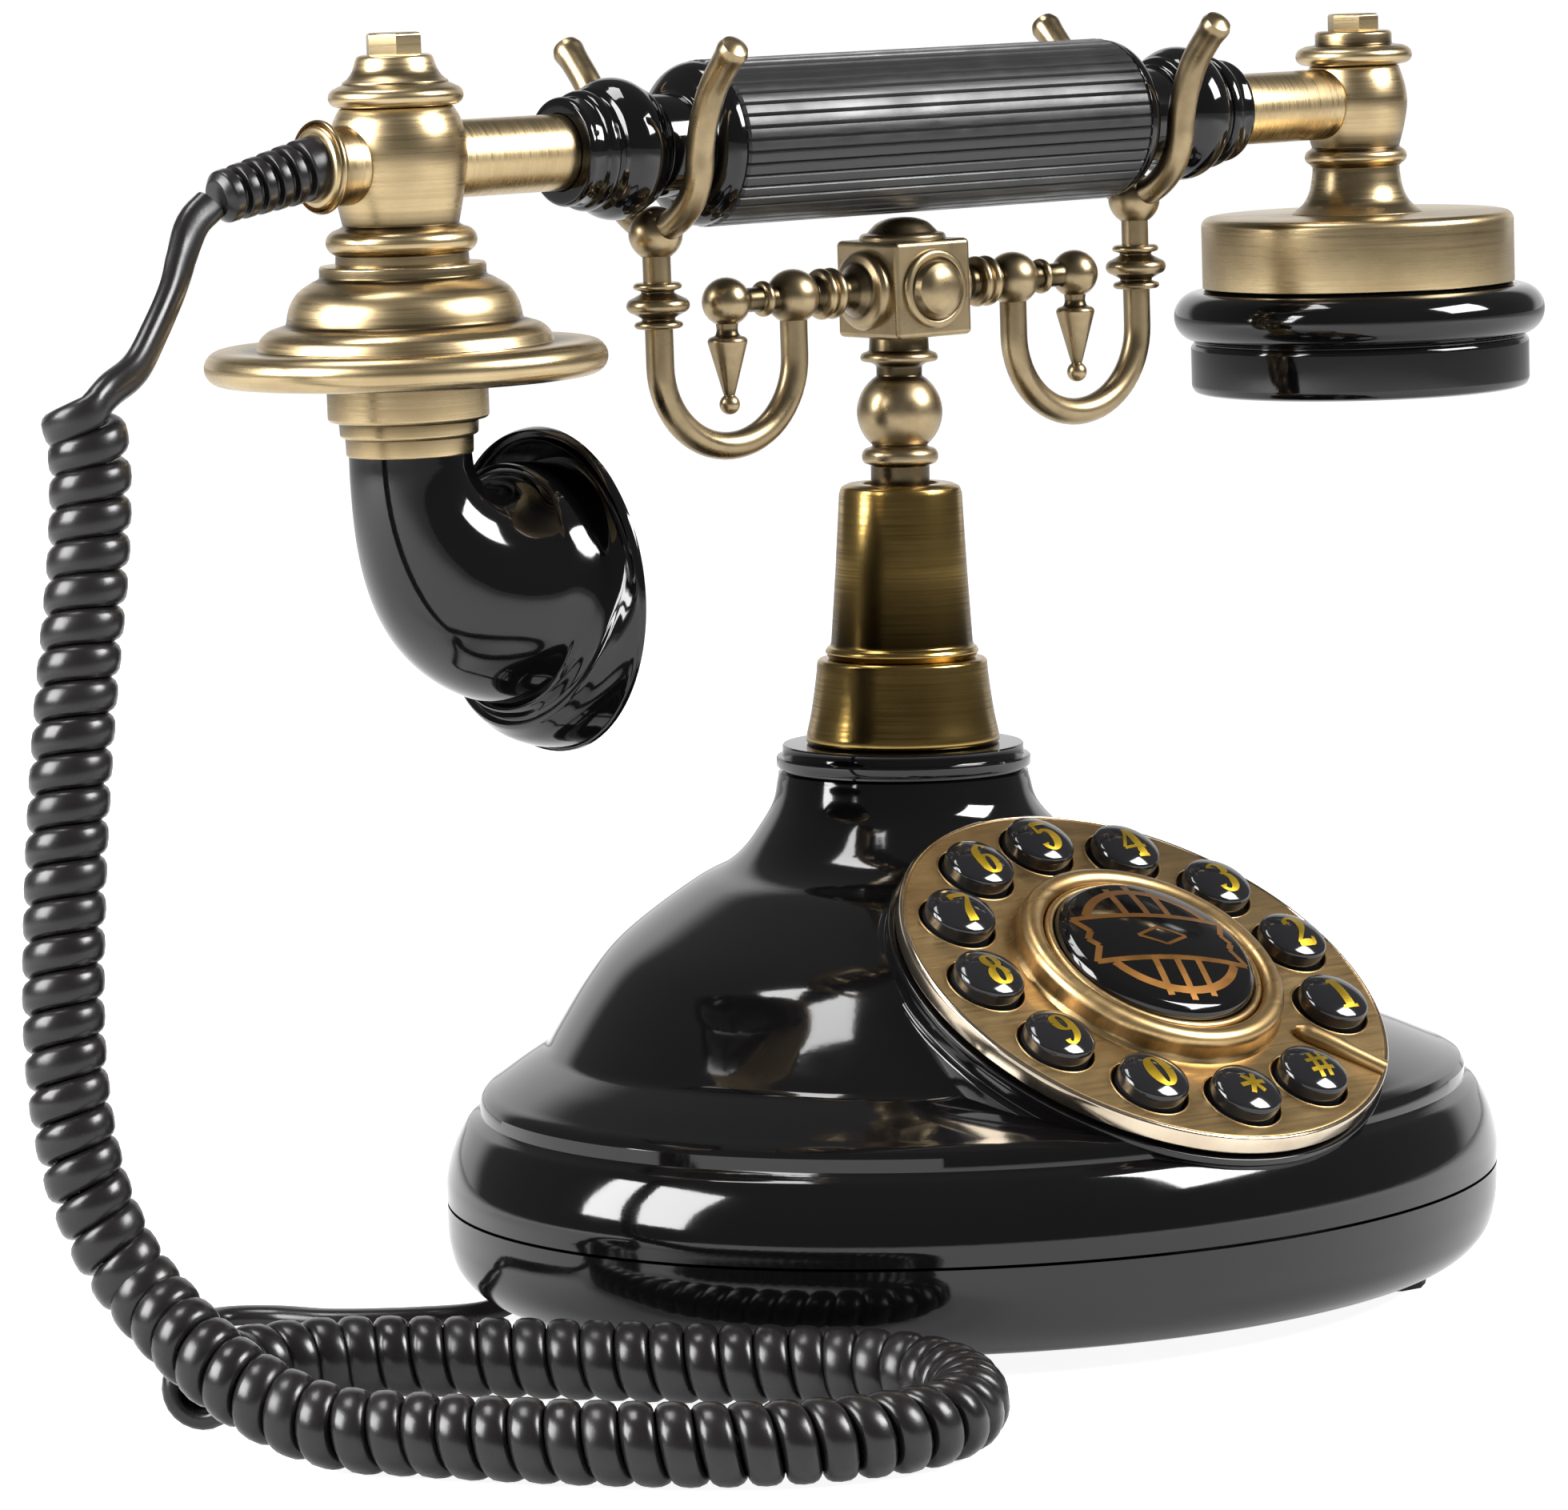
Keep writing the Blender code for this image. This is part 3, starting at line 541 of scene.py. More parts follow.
def cord_path():
    """The middle line of the whole cord, and the way its outer face looks at each point."""
    points, outs = coil_path()
    entry = (points[1] - points[0]).normalized()
    bend = points[0] - entry + Vector((0, 0, 1.4))
    lead_in = evenly(spline([*UPPER_LEAD, bend, points[3]], 12), LEAD_STEP_UPPER)
    facing = [TOWARDS_CAMERA, (TO_THE_RIGHT + TOWARDS_CAMERA * 0.5).normalized(), outs[0], outs[0]]
    facings = spline(facing, 12)
    first = [facings[round(i * (len(facings) - 1) / (len(lead_in) - 1))] for i in range(len(lead_in))]
    lead_out = evenly(spline([points[-1], *LOWER_LEAD], 12), LEAD_STEP_LOWER)
    up = Vector((0, 0, 1))
    last = [outs[-1].lerp(up, min(1.0, i / LEAD_TWIST_STEPS)).normalized() for i in range(len(lead_out))]
    return [*lead_in[:-1], *points[3:], *lead_out[1:]], [*first[:-1], *outs[3:], *last[1:]]


def make_cord():
    """A ribbon with a rounded outer face, swept along the cord's line."""
    points, outs = cord_path()
    section = []
    for i in range(16):
        a = math.tau * i / 16
        c, s = math.cos(a), math.sin(a)
        across = math.copysign(abs(c) ** 0.72, c) * CORD_WIDTH / 2
        out = CORD_THICKNESS * (0.66 * s**0.9 if s > 0 else -0.34 * abs(s) ** 0.6) - 0.16 * CORD_THICKNESS
        section.append((across, out))
    rings = []
    for i, (point, out) in enumerate(zip(points, outs)):
        along = direction(points, i)
        out = (out - along * out.dot(along)).normalized()
        across = along.cross(out)
        rings.append([point + across * a + out * b for a, b in section])
    length = sum((b - a).length for a, b in zip(points, points[1:]))
    print("cord length", round(length), "mm")
    cord = place(skin(rings, angle=60), "cord", "cord_black", WORLD, None, CORD_NODES)
    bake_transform(cord)
    return cord, points


make_camera()
cord, cord_line = make_cord()

# ---- base ----

RIM = spline([(87.6, 19.25), (87.6, 23.0), (86.4, 27.6), (84.4, 31.4), (82.9, 32.6)], 6)
LEDGE = [(82.3, 32.9), (82.0, 33.2), (82.0, 35.3), (81.5, 36.2), (80.4, 36.9)]
SKIRT = spline([(79.9, 37.1), (75.3, 39.4), (72.0, 40.9), (69.2, 42.1)], 4)
FLARE = spline(
    [
        (68.6, 42.6),
        (66.3, 45.7),
        (61.2, 52.0),
        (55.5, 57.6),
        (48.1, 62.3),
        (38.2, 67.4),
        (32.1, 69.7),
        (28.3, 72.2),
        (25.0, 75.7),
        (22.2, 79.5),
        (21.2, 83.2),
        (20.9, 84.7),
    ],
    5,
)
COLLAR = [(20.0, 85.1), (20.0, 85.4), (21.2, 85.7), (21.3, 86.0), (21.3, 87.1), (21.1, 87.4), (20.3, 87.5)]
COLLAR += [(20.2, 87.7), (20.2, 89.1), (20.0, 89.35), (17.0, 89.4), (15.0, 89.4)]
PAN = spline(
    [(76.8, 3.5), (80.6, 4.0), (83.7, 5.6), (86.2, 8.6), (87.3, 12.4), (87.6, 16.0), (87.6, 18.75)], 6,
)
JACK_BAY = ((-70, 23, -1), (-42, 36, 13.5))
CORD_GROOVE = ((-88, 26.6, -1), (-69, 32.4, 7.6))
LINE_SOCKET = ((-6.6, 59, 6.8), (6.6, 82, 17.2))


def oval_ring(reach, z, count=176):
    """A ring of the base: oval at the foot, round and further back at the neck."""
    rise = min(max((81.8 - reach) / (81.8 - NECK_RADIUS), 0.0), 1.0)
    a = reach * (BASE_HALF_WIDTH / FULL_REACH * (1 - rise) + rise)
    b = reach * (BASE_HALF_DEPTH / FULL_REACH * (1 - rise) + rise)
    turns = [math.tau * i / count for i in range(count)]
    return [(a * math.cos(t), COLUMN_Y * rise + b * math.sin(t), z) for t in turns]


def make_base():
    outline = [*RIM, *LEDGE, *SKIRT, *FLARE, *COLLAR]
    rings = [oval_ring(80.0, 19.25), *[oval_ring(p[0], p[1]) for p in outline]]
    housing = place(skin(rings, angle=35), "housing", "black_gloss", BASE, "base", ["base_housing"])
    well = [(0, -9), (39.3, -9), (39.3, -3.5), (42.6, -3.5), (42.6, 20), (0, 20)]
    cut(housing, lathe_mesh(well, 128), DIAL)
    boss = [(39.2, -20), (50.5, -20), (46.5, -16.2), (44.2, -12.5), (43.2, -9.6), (43.0, -7.6), (42.6, -7.2)]
    boss += [(42.1, -7.0), (42.1, -5.2), (42.4, -4.9), (42.4, -3.7), (39.2, -3.7)]
    lathe("dial_boss", boss, "black_gloss", DIAL, "base", count=144, hollow=True, round_off=0.25)
    rings = [*[oval_ring(p[0], p[1]) for p in PAN], oval_ring(80.0, 18.75)]
    pan = place(skin(rings, angle=35), "pan", "black_gloss", BASE, "base", ["base_pan"])
    for low, high in (JACK_BAY, CORD_GROOVE, LINE_SOCKET):
        cut(pan, box_mesh(low, high), BASE)


def make_column():
    flare = [
        (0, 89.6), (16.1, 89.6), (16.2, 90.2),
        *spline([(16.1, 91.0), (15.4, 94.2), (14.8, 98.0), (14.35, 101.5)], 4),
    ]
    flare += [(14.2, 103.2), (13.8, 103.6), (0, 103.6)]
    lathe("column_sleeve_low", flare, "column_brass", COLUMN, "base", ["column_flare"], 128)
    upper = [
        (0, 103.6), (12.2, 103.6), (12.5, 104.2), (12.9, 104.8), (12.5, 105.5), (12.0, 105.8),
        (11.85, 106.4),
    ]
    upper += [
        (11.0, 118.6), (10.25, 131.2), (9.9, 132.3), (8.6, 132.9), (6.4, 132.9), (6.2, 131.0),
        (0, 131.0),
    ]
    lathe("column_sleeve_high", upper, "column_brass", COLUMN, "base", ["column_tube"], 128)


# ---- dial ----


def dome(x, y):
    """Height of a key's rounded top at a place on it."""
    return 4.1 - 0.040 * (x * x + y * y)


def medallion_dome(x, y):
    return 7.7 - 0.0076 * (x * x + y * y)


def oval(x, y, wide, high, thin=0.35, thick=1.15, start=0, end=360):
    angles = [math.radians(start + (end - start) * i / 12) for i in range(13)]
    return [
        (x + wide * math.cos(a), y + high * math.sin(a), thin + (thick - thin) * abs(math.cos(a)) ** 1.5)
        for a in angles
    ]


GLYPH_SIZE = 1.16
GLYPH_WEIGHT = 1.5
GLYPH_RISE = -0.5
SIX = [
    oval(0.05, -1.2, 1.15, 1.55, 0.35, 1.0),
    [
        (-1.15, -1.0, 1.1), (-1.1, 0.9, 1.0), (-0.5, 2.1, 0.7), (0.35, 2.75, 0.4), (1.0, 2.45, 0.45),
        (1.1, 2.0, 0.8),
    ],
]
GLYPHS = {
    "1": [
        [(0.15, -2.7, 1.2), (0.15, 2.8, 1.2)], [(-1.1, 2.0, 0.35), (0.0, 2.6, 0.5)],
        [(-1.2, -2.75, 0.4), (1.5, -2.75, 0.4)],
    ],
    "2": [
        [
            (-1.1, 1.5, 1.0), (-1.1, 2.2, 0.6), (-0.4, 2.75, 0.4), (0.5, 2.7, 0.8), (1.05, 1.9, 1.2),
            (0.9, 0.9, 1.1), (0.1, -0.5, 0.6), (-1.3, -2.2, 0.4),
        ],
        [(-1.4, -2.35, 0.8), (0.2, -2.45, 0.9), (1.2, -2.4, 0.7), (1.5, -1.5, 0.35)],
    ],
    "3": [
        [
            (-1.15, 1.9, 0.9), (-0.9, 2.5, 0.5), (-0.1, 2.8, 0.4), (0.8, 2.2, 1.0), (0.8, 1.2, 1.1),
            (0.1, 0.45, 0.4), (-0.4, 0.35, 0.35),
        ],
        [
            (0.1, 0.4, 0.4), (0.95, -0.4, 1.0), (1.1, -1.4, 1.2), (0.6, -2.4, 0.8), (-0.3, -2.8, 0.4),
            (-1.1, -2.3, 0.5), (-1.2, -1.7, 0.9),
        ],
    ],
    "4": [
        [(0.6, 2.8, 1.1), (0.6, -2.7, 1.1)],
        [(0.4, 2.7, 0.4), (-1.9, -0.9, 0.4)],
        [(-1.95, -1.1, 0.4), (1.8, -1.1, 0.4)],
        [(-0.4, -2.75, 0.4), (1.5, -2.75, 0.4)],
    ],
    "5": [
        [(-1.0, 2.5, 0.8), (1.3, 2.6, 0.7)],
        [(-1.15, 2.7, 0.4), (-1.2, 0.2, 0.4)],
        [
            (-1.1, 0.3, 0.4), (-0.2, 0.8, 0.5), (0.8, 0.3, 1.0), (1.15, -0.9, 1.25), (0.7, -2.2, 0.9),
            (-0.2, -2.8, 0.4), (-1.1, -2.3, 0.5), (-1.25, -1.7, 0.9),
        ],
    ],
    "6": SIX,
    "7": [
        [(-1.5, 2.4, 0.8), (1.5, 2.4, 0.8)], [(-1.55, 2.7, 0.4), (-1.55, 1.5, 0.4)],
        [(1.5, 2.2, 0.4), (0.3, 0.3, 0.7), (-0.3, -1.2, 1.1), (-0.4, -2.8, 1.2)],
    ],
    "8": [oval(0.0, 1.4, 0.95, 1.25, 0.35, 0.95), oval(0.0, -1.35, 1.2, 1.45, 0.35, 1.05)],
    "9": [[(-x, -y, w) for x, y, w in stroke] for stroke in SIX],
    "0": [oval(0.0, 0.0, 1.35, 2.6, 0.4, 1.3)],
    "star": [
        [(-2.0 * math.cos(a), -2.0 * math.sin(a), 0.6), (2.0 * math.cos(a), 2.0 * math.sin(a), 0.6)]
        for a in (0.0, 1.047, 2.094)
    ],
    "hash": [
        [(-0.95, -2.4, 0.55), (-0.55, 2.4, 0.55)],
        [(0.55, -2.4, 0.55), (0.95, 2.4, 0.55)],
        [(-2.0, -0.9, 0.55), (1.9, -0.9, 0.55)],
        [(-1.9, 0.9, 0.55), (2.0, 0.9, 0.55)],
    ],
}


def marks(name, strokes, look, where, height, body, lift=0.06):
    """Printed strokes of varying width that lie on a curved surface."""
    points, faces = [], []
    for stroke in strokes:
        line = spline(stroke, 6 if len(stroke) > 2 else 10)
        for i, p in enumerate(line):
            before, after = line[max(i - 1, 0)], line[min(i + 1, len(line) - 1)]
            along = Vector((after.x - before.x, after.y - before.y)).normalized()
            across = Vector((-along.y, along.x)) * p.z / 2
            for x, y in ((p.x + across.x, p.y + across.y), (p.x - across.x, p.y - across.y)):
                points.append((x, y, height(x, y) + lift))
            if i:
                n = len(points)
                faces.append((n - 4, n - 3, n - 1, n - 2))
    mesh = bpy.data.meshes.new(name)
    mesh.from_pydata([tuple(Vector(p) * MM) for p in points], [], faces)
    place(mesh, name, look, where, body)


def key_frame(index):
    """The place of one key or hole on the dial, counted from key 1."""
    angle = math.radians(KEY_FIRST_ANGLE + KEY_STEP_ANGLE * index)
    return DIAL @ shift(KEY_RING_RADIUS * math.cos(angle), KEY_RING_RADIUS * math.sin(angle), 0)


def make_keys():
    top = [(r, dome(r, 0)) for r in (4.6, 3.6, 2.4, 1.2, 0.0)]
    outline = [(0, -4.9), (6.6, -4.9), (6.6, -4.0), (KEY_RADIUS, -3.6)]
    outline += [(KEY_RADIUS, 2.2), (5.5, 2.75), *top]
    for index, name in enumerate(GLYPHS):
        where = key_frame(index)
        body = "key_" + name
        lathe("button_" + name, outline, "key_black", where, body, [body], 48, round_off=0.5)
        strokes = [
            [(x * GLYPH_SIZE, y * GLYPH_SIZE + GLYPH_RISE, w * GLYPH_WEIGHT) for x, y, w in line]
            for line in GLYPHS[name]
        ]
        marks("digit_" + name, strokes, "gold_print", where, dome, body)


def make_ornament():
    """A plain grille-and-banner pattern in copper lines, with a lozenge in its middle."""
    lines = [oval(0, 0, 12.6, 12.6, 1.5, 1.5, 28, 152), oval(0, 0, 12.6, 12.6, 1.5, 1.5, 208, 332)]
    for x in (-4.0, 0.0, 4.0):
        for way in (1, -1):
            lines.append([(x, 5.4 * way, 1.2), (x, (14.6 - abs(x) * 0.25) * way, 1.2)])
    banner = [(-14.0, 5.4), (-12.2, 1.8), (-13.4, 0.0), (-12.2, -1.8), (-14.0, -5.4), (14.0, -5.4)]
    banner += [(12.2, -1.8), (13.4, 0.0), (12.2, 1.8), (14.0, 5.4), (-14.0, 5.4)]
    lines += [[(*a, 1.1), (*b, 1.1)] for a, b in zip(banner, banner[1:])]
    lozenge = [(-4.5, 0.0), (0.0, 2.2), (4.5, 0.0), (0.0, -2.2), (-4.5, 0.0)]
    lines += [[(*a, 0.6), (*b, 0.6)] for a, b in zip(lozenge, lozenge[1:])]
    where = DIAL @ about_z(MEDALLION_TURN)
    marks("medallion_ornament", lines, "copper_print", where, medallion_dome, "base")


def make_dial():
    disc = [(0, -3.2), (41.3, -3.2), (41.7, -2.8), (41.7, -0.7), (41.0, 0.0), (0, 0.0)]
    disc = lathe_mesh(disc, 160, patina_and_shade=False)
    plate = place(disc, "dial_face", "dial_brass", DIAL, "base", ["dial_plate"])
    for index in range(len(GLYPHS)):
        cut(plate, lathe_mesh([(0, -5), (6.45, -5), (6.45, 3), (0, 3)], 48), key_frame(index))
        rim = [(6.4, -0.4), *arc(6.62, -0.1, 0.22, 180, 0, 6), (6.84, -0.4)]
        lathe(f"hole_rim_{index}", rim, "dial_brass", key_frame(index), "base", count=48, hollow=True)
    edge = [(41.3, -3.2), (41.75, -2.9), (41.8, -0.9), *arc(41.2, -0.5, 0.6, 0, 100, 5), (40.9, -0.4)]
    lathe("dial_edge", edge, "polished_brass", DIAL, "base", count=160, hollow=True)
    trim = [(17.9, -0.2), (23.4, -0.2), (22.7, 0.8), *arc(20.6, 2.7, 1.95, -10, 190, 16), (18.5, 1.0)]
    lathe("dial_trim", trim, "dial_brass", DIAL, "base", ["dial_ring"], 128, True)
    inner = [(17.0, 0.5), (18.5, 0.5), *arc(17.75, 3.3, 0.75, 0, 180, 8)]
    lathe("dial_trim_inner", inner, "dial_brass", DIAL, "base", count=128, hollow=True)
    top = [(r, medallion_dome(r, 0)) for r in (15.6, 13.5, 11.0, 8.5, 6.0, 3.0, 0.0)]
    disc = [(0, 0.3), (17.0, 0.3), (17.0, 4.2), (16.6, 5.1), *top]
    lathe("medallion", disc, "black_gloss", DIAL, "base", ["dial_medallion"], 128)
    make_ornament()
    stop = spline([(25.5, 0.6, 0.6), (31.0, 0.3, 0.7), (36.0, 0.0, 0.6), (41.2, -0.2, 0.4)], 6)
    widths = [1.7 - 0.3 * i / (len(stop) - 1) for i in range(len(stop))]
    bar = tube_mesh(stop, [0.7, 1.3, *widths[2:]])
    place(bar, "finger_stop", "dial_brass", DIAL @ about_z(FINGER_STOP_ANGLE), "base")
    make_keys()


# ---- cradle ----


def ball(z, size, low, high, steps=14):
    return arc(0, z, size, low, high, steps)


def make_cradle_post():
    rod = [(0, 35.8), (6.6, 35.8), (6.6, 37.4), (3.2, 37.4), (3.2, 108), (4.9, 110), (4.9, 135.9)]
    rings = [(6.0, 136.2), (6.35, 136.8), (6.35, 137.9), (5.9, 138.6), (4.8, 138.9), (4.5, 139.3)]
    top = [
        (3.8, 151.4), (3.8, 152.4), (4.6, 152.9), (6.3, 153.2), (6.5, 153.9), (6.2, 154.5),
        (5.0, 154.9), (4.9, 157.2), (0, 157.2),
    ]
    outline = [*rod, *rings, *ball(144.7, 7.13, -50, 58), *top]
    lathe("post", outline, "dark_bronze", COLUMN, "cradle", ["cradle_stem"], 72)
    cube = box_mesh([-BLOCK_HALF] * 3, [BLOCK_HALF] * 3)
    block = place(cube, "block", "dark_bronze", BAR, "cradle", ["cradle_block"])
    bevel = block.modifiers.new("bevel", "BEVEL")
    bevel.width = 0.9 * MM
    bevel.segments = 4
    bevel.harden_normals = True
    boss = [
        (0, 7.5), (6.6, 7.5), (6.6, 8.5), (6.2, 8.9), (5.4, 9.0), (5.1, 8.6), (4.8, 9.2),
        *spline([(4.4, 10.0), (3.0, 10.9), (1.4, 11.3), (0, 11.4)], 4),
    ]
    for index, turn in enumerate((90, -90)):
        facing = BAR @ Matrix.Rotation(math.radians(turn), 4, "X")
        lathe(f"block_boss_{index}", boss, "dark_bronze", facing, "cradle", count=64)
    crown = [
        (0, 7.5), (7.2, 7.5), (7.2, 8.6), (6.8, 9.0), (5.9, 9.1),
        *spline([(5.5, 9.6), (4.2, 10.8), (2.2, 11.5), (0, 11.7)], 4),
    ]
    lathe("block_crown", crown, "dark_bronze", BAR, "cradle", count=64)


def make_arm(side, way, turn):
    bar = [
        (0, 7.6), (6.6, 7.6), (6.6, 9.2), (6.0, 9.8), (4.6, 10.2), (4.2, 10.8), (3.2, 11.8),
        (2.6, 13.4), (2.7, 14.6),
    ]
    bar += [
        (4.0, 14.9), (4.3, 15.6), (4.0, 16.4), (3.2, 16.7), (4.0, 17.0), (4.3, 17.7), (4.0, 18.4),
        (3.0, 18.8), (2.5, 19.5),
    ]
    bar += [
        *ball(INNER_BALL_X, 4.5, -58, 64), (2.0, 28.4), (2.0, 29.0), (2.8, 29.2), (3.0, 29.8),
        (2.8, 30.4), (2.0, 30.7), (2.0, 33.4),
    ]
    bar += ball(OUTER_BALL_X, 4.0, -58, 90)
    lathe("arm_bar_" + side, bar, "dark_bronze", BAR @ turn, "cradle", ["arm_" + side], 56)
    drop = [
        (0, -18.3), *ball(-16.7, 1.7, -80, 60, 8), (1.0, -14.9), (1.2, -14.2), (3.2, -6.8), (3.3, -6.3),
        (3.0, -5.8),
    ]
    drop += [(2.0, -5.5), (1.7, -4.6), (1.9, -3.0), (0, -3.0)]
    lathe("pendant_" + side, drop, "dark_bronze", BAR @ shift(way * OUTER_BALL_X, 0, 0), "cradle", count=40)


def make_hook(side, way):
    reach, middle = (POST_X - INNER_BALL_X) / 2, (POST_X + INNER_BALL_X) / 2
    path = [(INNER_BALL_X, 0, -3.0), (INNER_BALL_X, 0, -6.0)]
    path += [
        (middle - reach * math.cos(math.radians(a)), 0, -9.6 - reach * math.sin(math.radians(a)))
        for a in range(0, 181, 6)
    ]
    path += [(POST_X, 0, 0.0), (POST_X, 0, 9.0)]
    path = [(way * x, y, z) for x, y, z in path]
    loop = tube_mesh(path, [HOOK_RADIUS] * len(path), 28)
    place(loop, "loop_" + side, "dark_bronze", BAR, "cradle", ["hook_" + side])
    rings = [
        (0, -3.6), (3.6, -3.6), (4.0, -3.1), (3.8, -2.6), (2.7, -2.3), (2.7, -1.9),
        *arc(3.9, 0.1, 1.25, -80, 80, 8),
    ]
    rings += [(2.7, 2.1), (2.7, 2.5), (3.8, 2.8), (4.0, 3.3), (3.6, 3.8), (0, 3.8)]
    lathe("post_rings_" + side, rings, "dark_bronze", BAR @ shift(way * POST_X, 0, 0.2), "cradle", count=48)


def make_fork(side, way):
    prong = [
        (0.0, 12.2), (5.4, 14.0), (9.6, 17.2), (11.9, 21.4), (12.7, 26.0), (14.0, 30.5), (16.4, 35.2),
        (19.6, 38.9), (21.9, 41.2),
    ]
    for end in (1, -1):
        path = spline([(way * POST_X, end * y, z) for y, z in prong], 6)
        last = len(path) - 1
        radii = [PRONG_RADIUS + 0.25 * math.exp(-(((last - i) / 3.0) ** 2)) for i in range(len(path))]
        tip = path[-1] + (path[-1] - path[-2]).normalized() * 1.0
        path, radii = [*path, tip, tip + (tip - path[-1]) * 0.7], [*radii, 2.2, 0.8]
        place(tube_mesh(path, radii, 24), f"prong_{side}_{end % 3}", "dark_bronze", BAR, "cradle")
    hub = [(0, 8.3), (2.6, 8.3), *ball(11.9, 4.4, -56, 90)]
    where = BAR @ shift(way * POST_X, 0, 0)
    lathe("fork_hub_" + side, hub, "dark_bronze", where, "cradle", ["fork_" + side], 48)


# ---- handset ----

NUT_LEFT = [(0, 16.6), (4.7, 16.6), (4.7, 19.9), (4.3, 20.2), (0, 20.2)]
NUT_RIGHT = [(0, 12.5), (4.6, 12.5), (4.6, 15.2), (4.2, 15.5), (0, 15.5)]


def make_grip():
    rings = []
    per = len(FLUTE_DEPTHS)
    count = FLUTES * per
    stations = [(-GRIP_HALF, 1.0), (-GRIP_HALF + 0.3, 0.3), (-GRIP_HALF + 0.8, 0.0)]
    stations += [(-x, inset) for x, inset in reversed(stations)]
    for x, inset in stations:
        radii = [GRIP_RADIUS - inset - FLUTE_DEPTHS[i % per] * (1 - inset) for i in range(count)]
        turns = [math.tau * i / count for i in range(count)]
        rings.append([(x, r * math.cos(t), r * math.sin(t)) for r, t in zip(radii, turns)])
    place(skin(rings, angle=25), "grip", "black_satin", HANDSET, "handset", ["handset_grip"])
    cap = [
        (0, 43.0), (12.6, 43.0),
        *spline([(13.3, 43.4), (13.1, 44.6), (12.3, 45.9), (10.6, 47.1), (8.9, 47.7)], 5),
    ]
    cap += [(8.3, 48.2), (8.3, 54.3), (0, 54.3)]
    for side, turn in (("left", ALONG_MINUS_X), ("right", ALONG_X)):
        lathe("grip_end_" + side, cap, "black_gloss", HANDSET @ turn, "handset", count=80)


def make_collar(side, turn):
    collar = [
        (6.3, 54.5), (8.4, 54.5), (8.7, 55.1), (9.7, 55.7), (9.9, 56.5),
        *spline([(10.4, 57.2), (11.2, 59.0), (11.4, 60.8), (11.0, 62.6), (9.9, 64.2)], 5),
    ]
    collar += [
        (9.0, 64.7), (8.8, 65.3), (9.5, 65.7), (9.7, 66.6), (9.4, 67.5), (8.7, 67.9), (8.6, 69.2),
        (8.8, 70.2), (8.5, 71.0), (6.3, 71.0),
    ]
    where = HANDSET @ turn
    lathe("grip_collar_" + side, collar, "black_gloss", where, "handset", ["collar_" + side], 80, True)
    tube = [(0, 54.6), (TUBE_RADIUS, 54.6), (TUBE_RADIUS, 94.5), (0, 94.5)]
    lathe("grip_tube_" + side, tube, "antique_brass", where, "handset", ["arm_tube_" + side], 64)


def make_transmitter():
    neck = [
        (0, -16.6), (10.4, -16.6), (10.5, -15.3), *arc(9.9, -12.2, 2.0, -75, 75, 8), (9.6, -10.0),
        (9.1, -9.6),
    ]
    barrel = spline(
        [(9.2, -9.3), (9.8, -6.4), (10.5, -2.6), (10.9, 1.0), (10.6, 4.4), (9.9, 6.8), (8.9, 8.6)], 5,
    )
    vase = [*neck, *barrel, (0, 8.7)]
    lathe("mouth_barrel", vase, "antique_brass", LEFT_HEAD, "handset", ["transmitter_head"])
    cap = [
        (0, 8.7), (8.6, 8.7), *arc(9.1, 10.3, 1.5, -80, 75, 8), (9.0, 12.0), (8.3, 12.3),
        *spline([(8.3, 12.6), (7.5, 13.2), (6.7, 14.3), (6.1, 16.0)], 4),
    ]
    cap += [(5.9, 16.5), (5.2, 16.8), (0, 16.8)]
    lathe("mouth_cap", cap, "antique_brass", LEFT_HEAD, "handset", ["transmitter_cap"])
    lathe("mouth_cap_nut", NUT_LEFT, "antique_brass", LEFT_HEAD, "handset", count=6, round_off=0.25)
    bell = [(0, -15.8), (12.9, -15.8), (13.1, -16.1), (13.1, -17.6), (13.6, -18.0)]
    bell += [*spline([(14.2, -18.2), (16.6, -19.8), (18.0, -22.0), (18.6, -24.6)], 5), (18.9, -25.0)]
    bell += [
        *spline([(19.6, -25.1), (21.4, -25.7), (22.7, -26.8), (23.3, -28.2)], 4), (23.4, -28.6),
        (27.8, -28.4),
    ]
    bell += [*arc(29.0, -31.1, 2.7, 95, -80, 14), (26.6, -34.0), (13.0, -34.4), (12.7, -34.8), (12.7, -39.8)]
    bell += [
        (12.3, -40.2), (11.0, -40.3), (10.9, -42.4), (10.6, -42.7), (10.1, -42.8), (10.0, -45.7),
        (0, -45.7),
    ]
    lathe("mouth_shade", bell, "antique_brass", LEFT_HEAD, "handset", ["transmitter_bell"], 144)


LIP = (
    (20.6, -68.3, 20.0),
    (22.2, -68.8, 20.7),
    (23.2, -69.1, 21.8),
    (23.8, -69.3, 23.3),
    (24.3, -69.4, 25.0),
    (24.9, -69.4, 25.9),
    (25.7, -69.4, 26.1),
)


